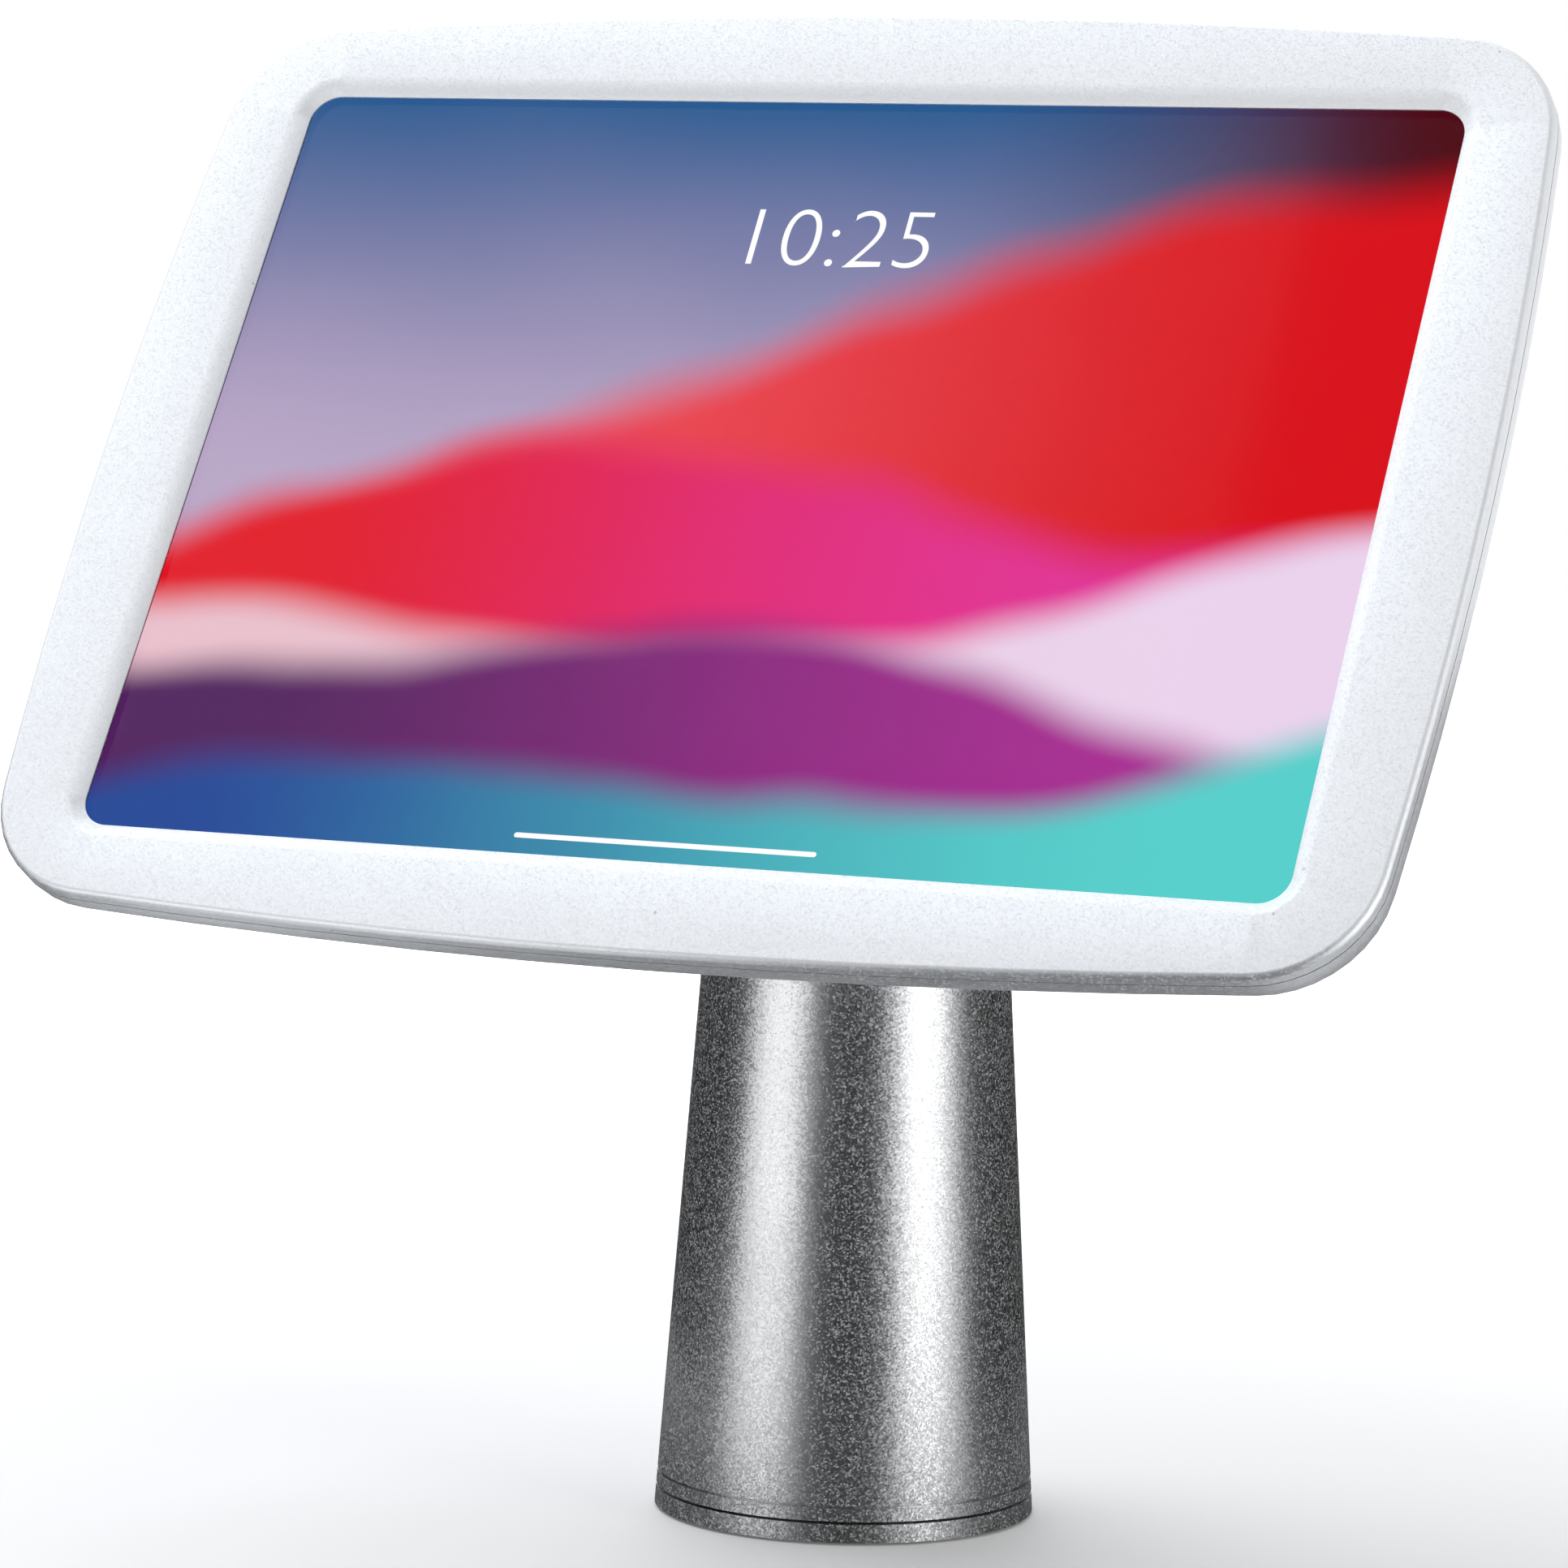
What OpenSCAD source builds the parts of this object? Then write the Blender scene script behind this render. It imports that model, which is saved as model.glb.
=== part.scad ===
// Tablet security kiosk stand: a tablet in a closed frame, on a tapered pedestal that swivels.
// Units are millimetres. The origin is the centre of the foot on the counter, +Z is up,
// and the screen faces -Y, leaning back.

/* [Screen frame] */
// Width of the frame beside the tablet, at the middle of the left and right sides
side_margin = 12.3; // [11:0.1:20]
// Height of the frame beyond the tablet, at the middle of the top and bottom sides
top_margin = 10.1; // [9.5:0.1:20]
// Radius of the bow in the left and right sides
side_arc_r = 961; // [700:1:1600]
// Radius of the bow in the top and bottom sides
top_arc_r = 1592; // [1000:1:2600]
// Corner radius of the frame
corner_r = 22.5; // [18:0.5:28]
// Lean of the screen from upright at rest, in degrees
head_tilt = 33; // [20:1:45]
// Thickness of the front bezel
bezel_t = 2.7; // [2.5:0.1:4]
// Rounding of the bezel's front edge
bezel_edge_r = 1.2; // [0.6:0.1:1.5]
// Seam between the bezel and the rear shell
seam_gap = 0.3; // [0.2:0.1:0.6]

/* [Window] */
// Width of tablet that the frame covers at the left and right
cover_x = 7.5; // [6:0.25:10]
// Height of tablet that the frame covers at the top and bottom
cover_y = 8.75; // [6:0.25:12]
// Corner radius of the window opening
window_r = 5.6; // [3:0.2:10]
// Width of the sloping bevel around the window
bevel_w = 3.4; // [2:0.1:5]
// Straight land below the bevel
window_land = 0.3; // [0.2:0.1:0.8]
// Depth of the recess behind the bezel that takes the glass
glass_recess = 0.5; // [0.3:0.1:0.8]
// Thickness of the foam gasket
gasket_t = 0.3; // [0.2:0.05:0.5]
// Inset of the gasket from the window and from the tablet's edge
gasket_inset = 2; // [1:0.25:2.5]

/* [Tablet] */
// Width of the tablet
tablet_w = 246; // [244:0.5:250]
// Height of the tablet
tablet_h = 177; // [174:0.5:180]
// Corner radius of the tablet
tablet_r = 18; // [12:0.5:22]
// Thickness of the cover glass
glass_t = 0.7; // [0.5:0.1:1]
// Thickness of the case behind the glass
case_t = 5.2; // [4.8:0.1:8]
// Side wall of the case
case_wall = 2.5; // [1.5:0.1:3]
// Back wall of the case
case_floor = 1; // [0.6:0.1:1.5]
// How far the display reaches past the window at the left and right
display_past_x = 0.5; // [0:0.25:2]
// How far the display reaches past the window at the top and bottom
display_past_y = 1.25; // [0:0.25:2]
// Thickness of the display panel
display_t = 1.3; // [0.8:0.1:1.6]
// Space at the left of the battery and at the right of the circuit board
inner_margin = 24; // [8:0.5:30]
// Height of the battery
battery_h = 110; // [80:1:130]
// Thickness of the battery
battery_t = 2.4; // [1.5:0.1:2.6]
// Width of the circuit board
board_w = 42; // [20:1:50]
// Height of the circuit board
board_h = 120; // [80:1:140]
// Thickness of the circuit board
board_t = 1.6; // [0.8:0.1:2.2]
// Space between the battery and the circuit board
board_gap = 1; // [0.5:0.25:4]
// Length of the power button
power_len = 12; // [8:0.5:16]
// Distance of the power button's middle below the tablet's top edge
power_drop = 26.5; // [22:0.5:32]
// Length of the volume button
volume_len = 24; // [16:0.5:30]
// Distance of the volume button's middle from the tablet's left edge
volume_in = 37; // [33:0.5:45]
// Width of a button across its edge
button_t = 2; // [1.5:0.1:2.2]
// How far a button stands out of the case
button_proud = 0.6; // [0.5:0.1:1]
// Thickness of the collar that keeps a button in
button_collar = 0.7; // [0.5:0.1:1]
// How far the collar reaches past a button's ends
button_reach = 1; // [0.6:0.1:1.5]

/* [Rear shell] */
// Rounding of the rear shell's back edge
back_r = 7.5; // [5:0.25:8.5]
// Width of the rim around the tablet space
rim_w = 4.5; // [4:0.1:5]
// Thickness of the shell's back
floor_t = 2; // [1.6:0.1:3]
// Thickness of the foam strips behind the tablet
back_pad_t = 1.6; // [1:0.1:3]
// Width of the raised pan on the back
pan_w = 190; // [150:1:194]
// Height of the raised pan on the back
pan_h = 130; // [116:1:134]
// Depth of the raised pan
pan_depth = 5; // [4.5:0.25:10]
// Corner radius of the pan
pan_r = 18; // [12:0.5:24]
// Rounding of the pan's back edge
pan_edge_r = 3; // [1:0.25:3.5]
// Side wall of the pan
pan_wall = 2.5; // [2:0.1:4]
// Width of a foam strip behind the tablet
back_pad_w = 10; // [6:0.5:10]
// Length of an upright foam strip
back_pad_len = 120; // [80:1:130]
// Length of a rubber block beside the tablet
cradle_len = 30; // [20:1:36]
// Height of a rubber block beside the tablet
cradle_h = 5; // [3:0.25:5.5]
// Distance of the long side's rubber blocks from the middle
cradle_x = 42; // [36:1:56]
// Height of the bezel screws above and below the middle
bezel_screw_y = 45; // [40:1:48]
// Radius of a bezel screw's shank
bezel_screw_r = 1.5; // [1.25:0.05:1.6]
// Radius of a bezel screw's head
bezel_head_r = 2.6; // [2.3:0.1:2.7]
// Thickness of a bezel screw's head
bezel_head_t = 1.1; // [0.8:0.1:1.2]
// Radius of the posts that the bezel screws pull together
post_r = 3; // [2.8:0.05:3.1]
// Length of a post on the bezel
post_len = 3.3; // [2.5:0.1:4]

/* [Pedestal] */
// Diameter of the pedestal at the counter
base_d = 71.4; // [69:0.2:84]
// Diameter of the pedestal at its top
cone_top_d = 52.4; // [50:0.2:58]
// Height of the top of the tapered tube
cone_top_z = 146; // [125:1:200]
// Wall of the tapered tube
cone_wall = 4; // [3:0.1:4.5]
// Height of the lower groove, which is the swivel gap
groove_lo_z = 4; // [3.5:0.1:5]
// Height of the upper groove, between collar and tube
groove_hi_z = 6.9; // [6.5:0.1:9]
// Width of the grooves
groove_w = 0.5; // [0.4:0.05:0.8]
// Depth of the upper groove
groove_depth = 0.8; // [0.5:0.1:1.2]
// Length of the ballast weight
ballast_len = 62; // [40:1:72]
// Extra radius of the ballast's bore, beside the spindle's cable bore
ballast_bore_room = 1; // [0.5:0.25:2]
// Thickness of the ledge inside the tube
shelf_t = 5; // [4:0.25:8]
// Width of the ledge inside its screw holes
shelf_land = 1; // [0.6:0.1:1.4]

/* [Foot] */
// Thickness of the rubber foot pad
pad_t = 1.2; // [1:0.1:2]
// How far the foot pad stands below the foot
pad_proud = 0.4; // [0.3:0.1:0.8]
// Inset of the foot pad from the foot's edge
pad_inset = 2.2; // [1.5:0.1:3]
// Width of the foot pad's ring
pad_w = 7.5; // [5:0.25:8]
// Inset of the bearing hub from the pedestal's edge
hub_inset = 7.7; // [7.4:0.1:9]
// Height of the top of the bearing hub
hub_top = 10; // [9.5:0.25:14]
// Distance of the counter bolts' circle inside the foot pad
desk_bolt_inset = 4; // [3:0.25:4.5]
// Radius of the tapped holes for the counter bolts
desk_bolt_r = 2.5; // [2:0.25:2.5]
// Depth of the tapped holes
desk_bolt_depth = 8; // [5:0.25:8.5]

/* [Swivel] */
// Wall of the hollow spindle, round the cable bore
spindle_wall = 3; // [2.5:0.1:5]
// Distance of the spindle's flange inside the counter bolts' circle
flange_inset = 6; // [4:0.25:8]
// Thickness of the spindle's flange
flange_t = 2.5; // [1.5:0.1:3]
// Thickness of the thrust washer
thrust_t = 1.2; // [0.8:0.1:2]
// Thickness of the bearing web
web_t = 5; // [4:0.25:8]
// Thickness of the friction washer
friction_t = 1; // [0.6:0.1:2]
// Width of the rings of the swivel's washers and spring
washer_w = 2.6; // [2:0.1:3]
// Height of the disc spring
disc_spring_h = 1.4; // [1:0.1:2]
// Thickness of the disc spring's metal
disc_spring_t = 0.8; // [0.5:0.05:0.9]
// Thickness of the spindle nut
spindle_nut_t = 7; // [5:0.25:10]
// Room round the flats of the spindle nut
nut_room = 5; // [4:0.25:6]
// How far the spindle stands out of its nut
spindle_end = 2; // [1:0.25:4]
// Distance of the swivel stop pin inside the carrier screws' circle
stop_inset = 7; // [6.6:0.1:7.2]
// Distance of the stop pin's axis outside the swivel's washers
stop_out = 2.4; // [2:0.1:2.8]
// Radius of the swivel stop pin
stop_pin_r = 1.5; // [1:0.1:1.6]
// Depth of the stop channel in the bearing web
stop_channel = 2.4; // [1.5:0.1:2.8]
// How far the stop pin is set into the hub
stop_seat = 5; // [3:0.25:6]
// Swivel to each side, in degrees
swivel_limit = 165; // [90:1:168]
// Distance of the carrier screws' circle inside the hub's edge
carrier_screw_inset = 5; // [4.6:0.1:5.4]
// Radius of a carrier screw's shank
carrier_screw_r = 2; // [1.5:0.1:2.1]
// Radius of a carrier screw's head
carrier_head_r = 3.5; // [3:0.1:3.6]
// Thickness of a carrier screw's head
carrier_head_t = 2.2; // [1.5:0.1:2.6]
// How far a carrier screw goes into the ballast
carrier_grip = 8; // [5:0.5:12]

/* [Tilt hinge] */
// Height of the tilt axis above the yoke's flange
pivot_rise = 17; // [15:0.25:24]
// Thickness of the yoke's flange
yoke_flange_t = 3; // [2:0.25:5]
// Depth of the yoke's plug in the tube
plug_len = 12; // [9:0.5:20]
// How far a set screw goes into the yoke's plug
set_screw_grip = 4; // [3:0.25:5]
// Depth of the pockets that the hinge plates are set into
tenon_len = 3; // [2:0.25:3.5]
// Radius of the rounded hinge ends
hinge_r = 10.5; // [9:0.25:11.5]
// Half of the gap between the yoke's ears
ear_in = 11; // [10.5:0.25:12]
// Thickness of an ear
ear_t = 6; // [4:0.25:6.5]
// Thickness of a tilt friction washer
tilt_washer_t = 1; // [0.6:0.1:1.6]
// Thickness of a cheek of the bracket
cheek_t = 6; // [4:0.25:8]
// Radius of a tilt bolt's shoulder
tilt_bolt_r = 4; // [3:0.1:5]
// Thickness of a tilt spring washer
tilt_spring_t = 1; // [0.6:0.1:1.6]
// Radius of a tilt bolt's head
tilt_head_r = 7; // [6.8:0.1:8.5]
// Thickness of a tilt bolt's head
tilt_head_t = 3.5; // [3:0.1:5]
// Radius of the hole for the yoke's grommet
yoke_hole_r = 8; // [6.5:0.1:8.5]
// Radius of the yoke's set screws
set_screw_r = 2; // [1.5:0.1:2.5]
// Distance from the tilt axis to the back of the bracket's plate
bracket_reach = 32; // [31:0.25:45]
// Radius of the bracket's plate
bracket_r = 35; // [34:0.25:40]
// Thickness of the bracket's plate
bracket_t = 5; // [4:0.25:8]

/* [Turning plate] */
// Width of the square turning plate
rotor_w = 92; // [86:0.5:110]
// Corner radius of the turning plate
rotor_r = 8; // [4:0.5:10]
// Thickness of the turning plate
rotor_t = 3; // [2.5:0.1:5]
// Spacing of the turning plate's screws
rotor_pitch = 75; // [74:0.5:78]
// Radius of a turning plate screw's shank
rotor_screw_r = 2; // [1.5:0.1:2.4]
// Radius of a turning plate screw's head
rotor_head_r = 3.5; // [3:0.1:4]
// Thickness of a turning plate screw's head
rotor_head_t = 2.4; // [1.5:0.1:3]
// Width across the flats of a mount nut
mount_nut_af = 7; // [6:0.1:8]
// Thickness of a mount nut
mount_nut_t = 3.2; // [2:0.1:3.6]
// Outer radius of the hollow stub
stub_r = 12; // [11:0.1:13]
// Radius of the cable hole through the stub
stub_bore_r = 8; // [6:0.25:9]
// How far the stub stands out of its nut
stub_end = 0.5; // [0.2:0.1:0.8]
// Thickness of the friction disc
disc_t = 1; // [0.6:0.1:2]
// Radius of the friction disc
disc_r = 24; // [20:0.25:25.5]
// Thickness of the rotor spring
rotor_spring_t = 1.2; // [0.8:0.1:1.8]
// Thickness of the rotor nut
rotor_nut_t = 4.8; // [3.5:0.1:4.9]
// Radius of the rotation stop pin's circle
turn_stop_r = 29; // [28.8:0.1:30]
// Radius of the rotation stop pin
turn_pin_r = 2; // [1.5:0.1:2.2]
// Turn from landscape to portrait, in degrees
turn_limit = 90; // [45:1:90]
// Radius of the cable hole in the shell's pan
pan_hole_r = 10; // [9.5:0.1:11]
// Thickness of the rubber flanges on both grommets
grommet_flange_t = 1.2; // [0.8:0.1:1.6]
// Overhang of the rubber flanges on both grommets
grommet_lip = 2; // [1:0.1:2]
// Wall of the grommets
grommet_wall = 2; // [1.5:0.1:2.5]

/* [Fits] */
// Clearance of pieces that are fastened together
fit = 0.05; // [0.03:0.01:0.1]
// Radial clearance of turning pieces
run_fit = 0.05; // [0.03:0.01:0.08]
// Clearance of screws in plain holes
screw_fit = 0.1; // [0.05:0.05:0.2]
// Gap between moving pieces that never touch
run_gap = 0.4; // [0.3:0.05:0.6]
// Gap left at the stop pins
stop_gap = 0.35; // [0.3:0.05:0.5]
// Clearance of foam and rubber beside the tablet
pad_gap = 0.1; // [0.05:0.05:0.2]
// Clearance of a button in its slot
button_gap = 0.15; // [0.1:0.05:0.25]

/* [Hidden] */
$fn = 96;

// Overshoot of cuts past the faces that they open
over = 1;
// Overlap of a swept edge with the plate inside it
lap = 2;
// Straight steps along a bow, round a corner and over a rounded edge
bow_steps = 10;
corner_steps = 9;
edge_steps = 6;

// Quarter of a full turn
quarter = 90;

// Sizes of the frame, the window and the display
face_w = tablet_w + 2 * side_margin;
face_h = tablet_h + 2 * top_margin;
window_w = tablet_w - 2 * cover_x;
window_h = tablet_h - 2 * cover_y;
display_w = window_w + 2 * display_past_x;
display_h = window_h + 2 * display_past_y;
case_inner_w = tablet_w - 2 * case_wall;
case_inner_h = tablet_h - 2 * case_wall;
battery_w = case_inner_w - 2 * inner_margin - board_w - board_gap;
battery_x = -(board_w + board_gap) / 2;
board_x = (battery_w + board_gap) / 2;
power_y = tablet_h / 2 - power_drop;
volume_x = tablet_w / 2 - volume_in;

// Radii in the foot and the swivel, from the pedestal's edge inwards
hub_r = base_d / 2 - hub_inset;
pad_out_r = base_d / 2 - pad_inset;
pad_in_r = pad_out_r - pad_w;
desk_bolt_pcd = 2 * (pad_in_r - desk_bolt_inset);
flange_r = desk_bolt_pcd / 2 - flange_inset;
carrier_screw_circle = hub_r - carrier_screw_inset;
stop_r = carrier_screw_circle - stop_inset;
washer_r = stop_r - stop_out;
spindle_r = washer_r - washer_w;
cable_r = spindle_r - spindle_wall;

// Heights in the pedestal
function cone_r(z) = base_d / 2 - (base_d - cone_top_d) / 2 * z / cone_top_z;
foot_top = groove_lo_z - groove_w / 2;
collar_bottom = groove_lo_z + groove_w / 2;
collar_top = groove_hi_z - groove_w / 2;
cone_bottom = groove_hi_z + groove_w / 2;
web_bottom = hub_top + thrust_t;
web_top = web_bottom + web_t;
shelf_bottom = web_top + fit;
shelf_top = shelf_bottom + shelf_t;
disc_spring_z = web_top + friction_t;
spindle_nut_z = disc_spring_z + disc_spring_h;
spindle_top = spindle_nut_z + spindle_nut_t + spindle_end;
spigot_r = cone_r(shelf_bottom) - cone_wall;
shelf_r = carrier_screw_circle - carrier_screw_r - shelf_land;
spindle_nut_r = (shelf_r - nut_room) / cos(30);
ballast_top = shelf_top + ballast_len;
ballast_r = cone_r(ballast_top) - cone_wall - run_gap;
ballast_pocket_top = spindle_top + run_gap;
carrier_screw_count = 3;
desk_bolt_count = 3;
yoke_screw_count = 3;
stop_angle = 90;
channel_w = 2 * (stop_pin_r + stop_gap);
channel_turn = 2 * (swivel_limit + asin((stop_pin_r + stop_gap) / stop_r));

// The tilt hinge, from the middle outwards along X
flange_top_z = cone_top_z + yoke_flange_t;
pivot_z = flange_top_z + pivot_rise;
plug_r = cone_r(cone_top_z) - cone_wall - fit;
ear_out = ear_in + ear_t;
cheek_in = ear_out + tilt_washer_t;
cheek_out = cheek_in + cheek_t;
tilt_head_x = cheek_out + tilt_spring_t;
plug_bottom_z = cone_top_z - plug_len;
set_screw_z = cone_top_z - plug_len / 2;

// Depths behind the front face
glass_d = bezel_t - glass_recess + gasket_t;
case_d = glass_d + glass_t;
tablet_back_d = case_d + case_t;
floor_d = tablet_back_d + back_pad_t;
shell_back_d = floor_d + floor_t;
pan_floor_d = floor_d + pan_depth;
pan_back_d = pan_floor_d + floor_t;
shell_front_d = bezel_t + seam_gap;
post_d = bezel_t + post_len;
case_floor_d = tablet_back_d - case_floor;
button_d = (case_d + display_t + case_floor_d) / 2;

// Distances from the tilt axis along the face's normal
disc_z = bracket_reach + bracket_t;
rotor_z = disc_z + disc_t;
face_z = rotor_z + rotor_t + pan_back_d;
rotor_spring_z = bracket_reach - rotor_spring_t;
rotor_nut_z = rotor_spring_z - rotor_nut_t;
stub_end_z = rotor_nut_z - stub_end;
rotor_nut_r = cheek_in - run_gap;
turn_pin_angle = 90;
turn_slot_w = 2 * (turn_pin_r + stop_gap);
turn_slot_margin = asin((turn_pin_r + stop_gap) / turn_stop_r);

// The frame's outline: two pairs of bows, joined by corner arcs that touch both
side_centre = face_w / 2 - side_arc_r;
top_centre = face_h / 2 - top_arc_r;
side_reach = side_arc_r - corner_r;
top_reach = top_arc_r - corner_r;
bow_gap = norm([side_centre, top_centre]);
bow_dir = [-side_centre, top_centre] / bow_gap;
bow_along = (side_reach ^ 2 - top_reach ^ 2 + bow_gap ^ 2) / (2 * bow_gap);
bow_across = sqrt(side_reach ^ 2 - bow_along ^ 2);
corner_x = side_centre + bow_along * bow_dir.x - bow_across * bow_dir.y;
corner_y = bow_along * bow_dir.y + bow_across * bow_dir.x;
side_half_turn = atan2(corner_y, corner_x - side_centre);
top_half_turn = atan2(corner_x, corner_y - top_centre);
function half_width_at(y) = side_centre + sqrt(side_arc_r ^ 2 - y ^ 2);
function half_height_at(x) = top_centre + sqrt(top_arc_r ^ 2 - x ^ 2);
function arc(centre, radius, from, to, steps) = [
    for (i = [0 : steps])
        let (turn = from + (to - from) * i / steps)
        centre + radius * [cos(turn), sin(turn)]
];
function inner_points(points) = [for (i = [1 : len(points) - 2]) points[i]];
function half_turn(turn) = turn % 180 == 0 ? side_half_turn : top_half_turn;
function bow_start(turn) = turn - half_turn(turn);
function bow_end(turn) = turn + half_turn(turn);
function bow(turn, inset) =
    turn % 180 == 0
    ? arc([cos(turn) * side_centre, 0], side_arc_r - inset, bow_start(turn), bow_end(turn), bow_steps)
    : arc([0, sin(turn) * top_centre], top_arc_r - inset, bow_start(turn), bow_end(turn), bow_steps);
function corner(turn, inset) =
    let (
        middle = turn + quarter / 2,
        centre = [sign(cos(middle)) * corner_x, sign(sin(middle)) * corner_y]
    )
    inner_points(arc(centre, corner_r - inset, bow_end(turn), bow_start(turn + quarter), corner_steps));
function outline_points(inset) = [
    for (turn = [0 : quarter : 3 * quarter])
        each concat(bow(turn, inset), corner(turn, inset))
];
function round_steps() = [for (i = [0 : edge_steps]) quarter * i / edge_steps];

// Places beside the tablet
bezel_screw_x = (tablet_w / 2 + half_width_at(bezel_screw_y) - rim_w) / 2;
cradle_reach_x = half_width_at(cradle_len / 2) - rim_w - pad_gap;
cradle_reach_y = half_height_at(cradle_x + cradle_len / 2) - rim_w - pad_gap;
pan_pocket_w = pan_w - 2 * pan_wall;
pan_pocket_h = pan_h - 2 * pan_wall;
back_pad_x = (pan_w / 2 + tablet_w / 2) / 2;
back_pad_y = (pan_h / 2 + tablet_h / 2) / 2;

// Shared shapes

// Places its children in the leaning head: X right, Y up the face, Z out of the face
module head() {
    translate([0, 0, pivot_z])
        rotate([90 - head_tilt, 0, 0])
            children();
}

// Extrudes a flat outline between two depths behind the face
module slab(front_d, back_d) {
    translate([0, 0, face_z - back_d])
        linear_extrude(back_d - front_d)
            children();
}

module on_circle(count, radius, start = 0) {
    for (i = [0 : count - 1])
        rotate(start + 360 * i / count)
            translate([radius, 0, 0])
                children();
}

module both_sides() {
    children();
    mirror([1, 0, 0]) children();
}

module four_corners(x, y) {
    for (sx = [-1, 1], sy = [-1, 1])
        translate([sx * x, sy * y, 0])
            children();
}

module ring(outer, inner, height) {
    difference() {
        cylinder(r = outer, h = height);
        translate([0, 0, -over]) cylinder(r = inner, h = height + 2 * over);
    }
}

module rounded_rect(w, h, r) {
    square([w - 2 * r, h], center = true);
    square([w, h - 2 * r], center = true);
    four_corners(w / 2 - r, h / 2 - r) circle(r);
}

// What a quarter round takes off a square corner at the origin
module corner_cut(r) {
    difference() {
        square(r + over);
        circle(r);
    }
}

// Builds the frame's outline in layers, each an inset and a depth, listed from the back to the front
module loft(levels) {
    count = len(outline_points(0));
    last = len(levels) - 1;
    points = [
        for (level = levels, p = outline_points(level[0]))
            [p.x, p.y, face_z - level[1]]
    ];
    walls = [
        for (k = [0 : last - 1], i = [0 : count - 1])
            let (
                low = k * count + i,
                low_next = k * count + (i + 1) % count,
                high = low + count,
                high_next = low_next + count
            )
            each [[low, high, high_next], [low, high_next, low_next]]
    ];
    back = [for (i = [0 : count - 1]) i];
    front = [for (i = [count - 1 : -1 : 0]) last * count + i];
    polyhedron(points, concat([back], walls, [front]), convexity = 4);
}

// Carries a profile round a rounded rectangle. The profile's X is the distance outside its edge.
module sweep_rect(w, h, r) {
    for (i = [0 : 3])
        rotate(90 * i) {
            half_x = (i % 2 == 0 ? w : h) / 2;
            half_y = (i % 2 == 0 ? h : w) / 2;
            translate([half_x, half_y - r, 0])
                rotate([90, 0, 0])
                    linear_extrude(2 * (half_y - r))
                        children();
            translate([half_x - r, half_y - r, 0])
                rotate_extrude(angle = 90)
                    translate([r, 0]) children();
        }
}

// A hinge plate in the YZ plane: round about the axis, and straight for a length along Z
module hinge_plate(x, thickness, length) {
    translate([x, 0, 0])
        rotate([90, 0, 90])
            linear_extrude(thickness) {
                circle(hinge_r);
                translate([-hinge_r, min(0, length)]) square([2 * hinge_r, abs(length)]);
            }
}

// A rubber bush with a lip below and, where asked for, a lip above
module grommet(hole_r, wall_t, lip_above) {
    lip_r = hole_r + grommet_lip;
    difference() {
        union() {
            cylinder(r = hole_r - fit, h = wall_t);
            translate([0, 0, -grommet_flange_t]) cylinder(r = lip_r, h = grommet_flange_t);
            if (lip_above) translate([0, 0, wall_t]) cylinder(r = lip_r, h = grommet_flange_t);
        }
        translate([0, 0, -grommet_flange_t - over])
            cylinder(r = hole_r - grommet_wall, h = wall_t + 2 * grommet_flange_t + 2 * over);
    }
}

// The foot and the swivel

module base_foot() {
    color("silver")
        difference() {
            union() {
                translate([0, 0, pad_proud])
                    cylinder(r1 = cone_r(pad_proud), r2 = cone_r(foot_top), h = foot_top - pad_proud);
                translate([0, 0, pad_proud]) cylinder(r = hub_r, h = hub_top - pad_proud);
            }
            translate([0, 0, -over]) cylinder(r = spindle_r + fit, h = hub_top + 2 * over);
            translate([0, 0, -over]) cylinder(r = flange_r + fit, h = pad_proud + flange_t + over);
            translate([0, 0, -over]) ring(pad_out_r + fit, pad_in_r - fit, pad_t + over);
            on_circle(desk_bolt_count, desk_bolt_pcd / 2, -stop_angle)
                translate([0, 0, pad_proud - over]) cylinder(r = desk_bolt_r, h = desk_bolt_depth + over);
            on_circle(1, stop_r, stop_angle)
                translate([0, 0, hub_top - stop_seat]) cylinder(r = stop_pin_r + fit, h = stop_seat + over);
        }
}

module foot_pad() {
    color("dimgray") ring(pad_out_r, pad_in_r, pad_t);
}

module swivel_spindle() {
    color("gray")
        difference() {
            translate([0, 0, pad_proud])
                union() {
                    cylinder(r = spindle_r, h = spindle_top - pad_proud);
                    cylinder(r = flange_r, h = flange_t);
                }
            translate([0, 0, -over]) cylinder(r = cable_r, h = spindle_top + 2 * over);
        }
}

module thrust_washer() {
    color("ivory") translate([0, 0, hub_top]) ring(washer_r, spindle_r + fit, thrust_t);
}

module friction_washer() {
    color("ivory") translate([0, 0, web_top]) ring(washer_r, spindle_r + fit, friction_t);
}

module disc_spring() {
    inner = spindle_r + fit;
    rise = disc_spring_h - disc_spring_t;
    color("dimgray")
        translate([0, 0, disc_spring_z])
            rotate_extrude()
                polygon([[washer_r, 0], [washer_r, disc_spring_t], [inner, disc_spring_h], [inner, rise]]);
}

module spindle_nut() {
    color("gray")
        translate([0, 0, spindle_nut_z])
            difference() {
                cylinder(r = spindle_nut_r, h = spindle_nut_t, $fn = 6);
                translate([0, 0, -over]) cylinder(r = spindle_r + fit, h = spindle_nut_t + 2 * over);
            }
}

module swivel_stop_pin() {
    color("gray")
        on_circle(1, stop_r, stop_angle)
            translate([0, 0, hub_top - stop_seat])
                cylinder(r = stop_pin_r, h = stop_seat + thrust_t + stop_channel - stop_gap);
}

// The swivelling column

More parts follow.
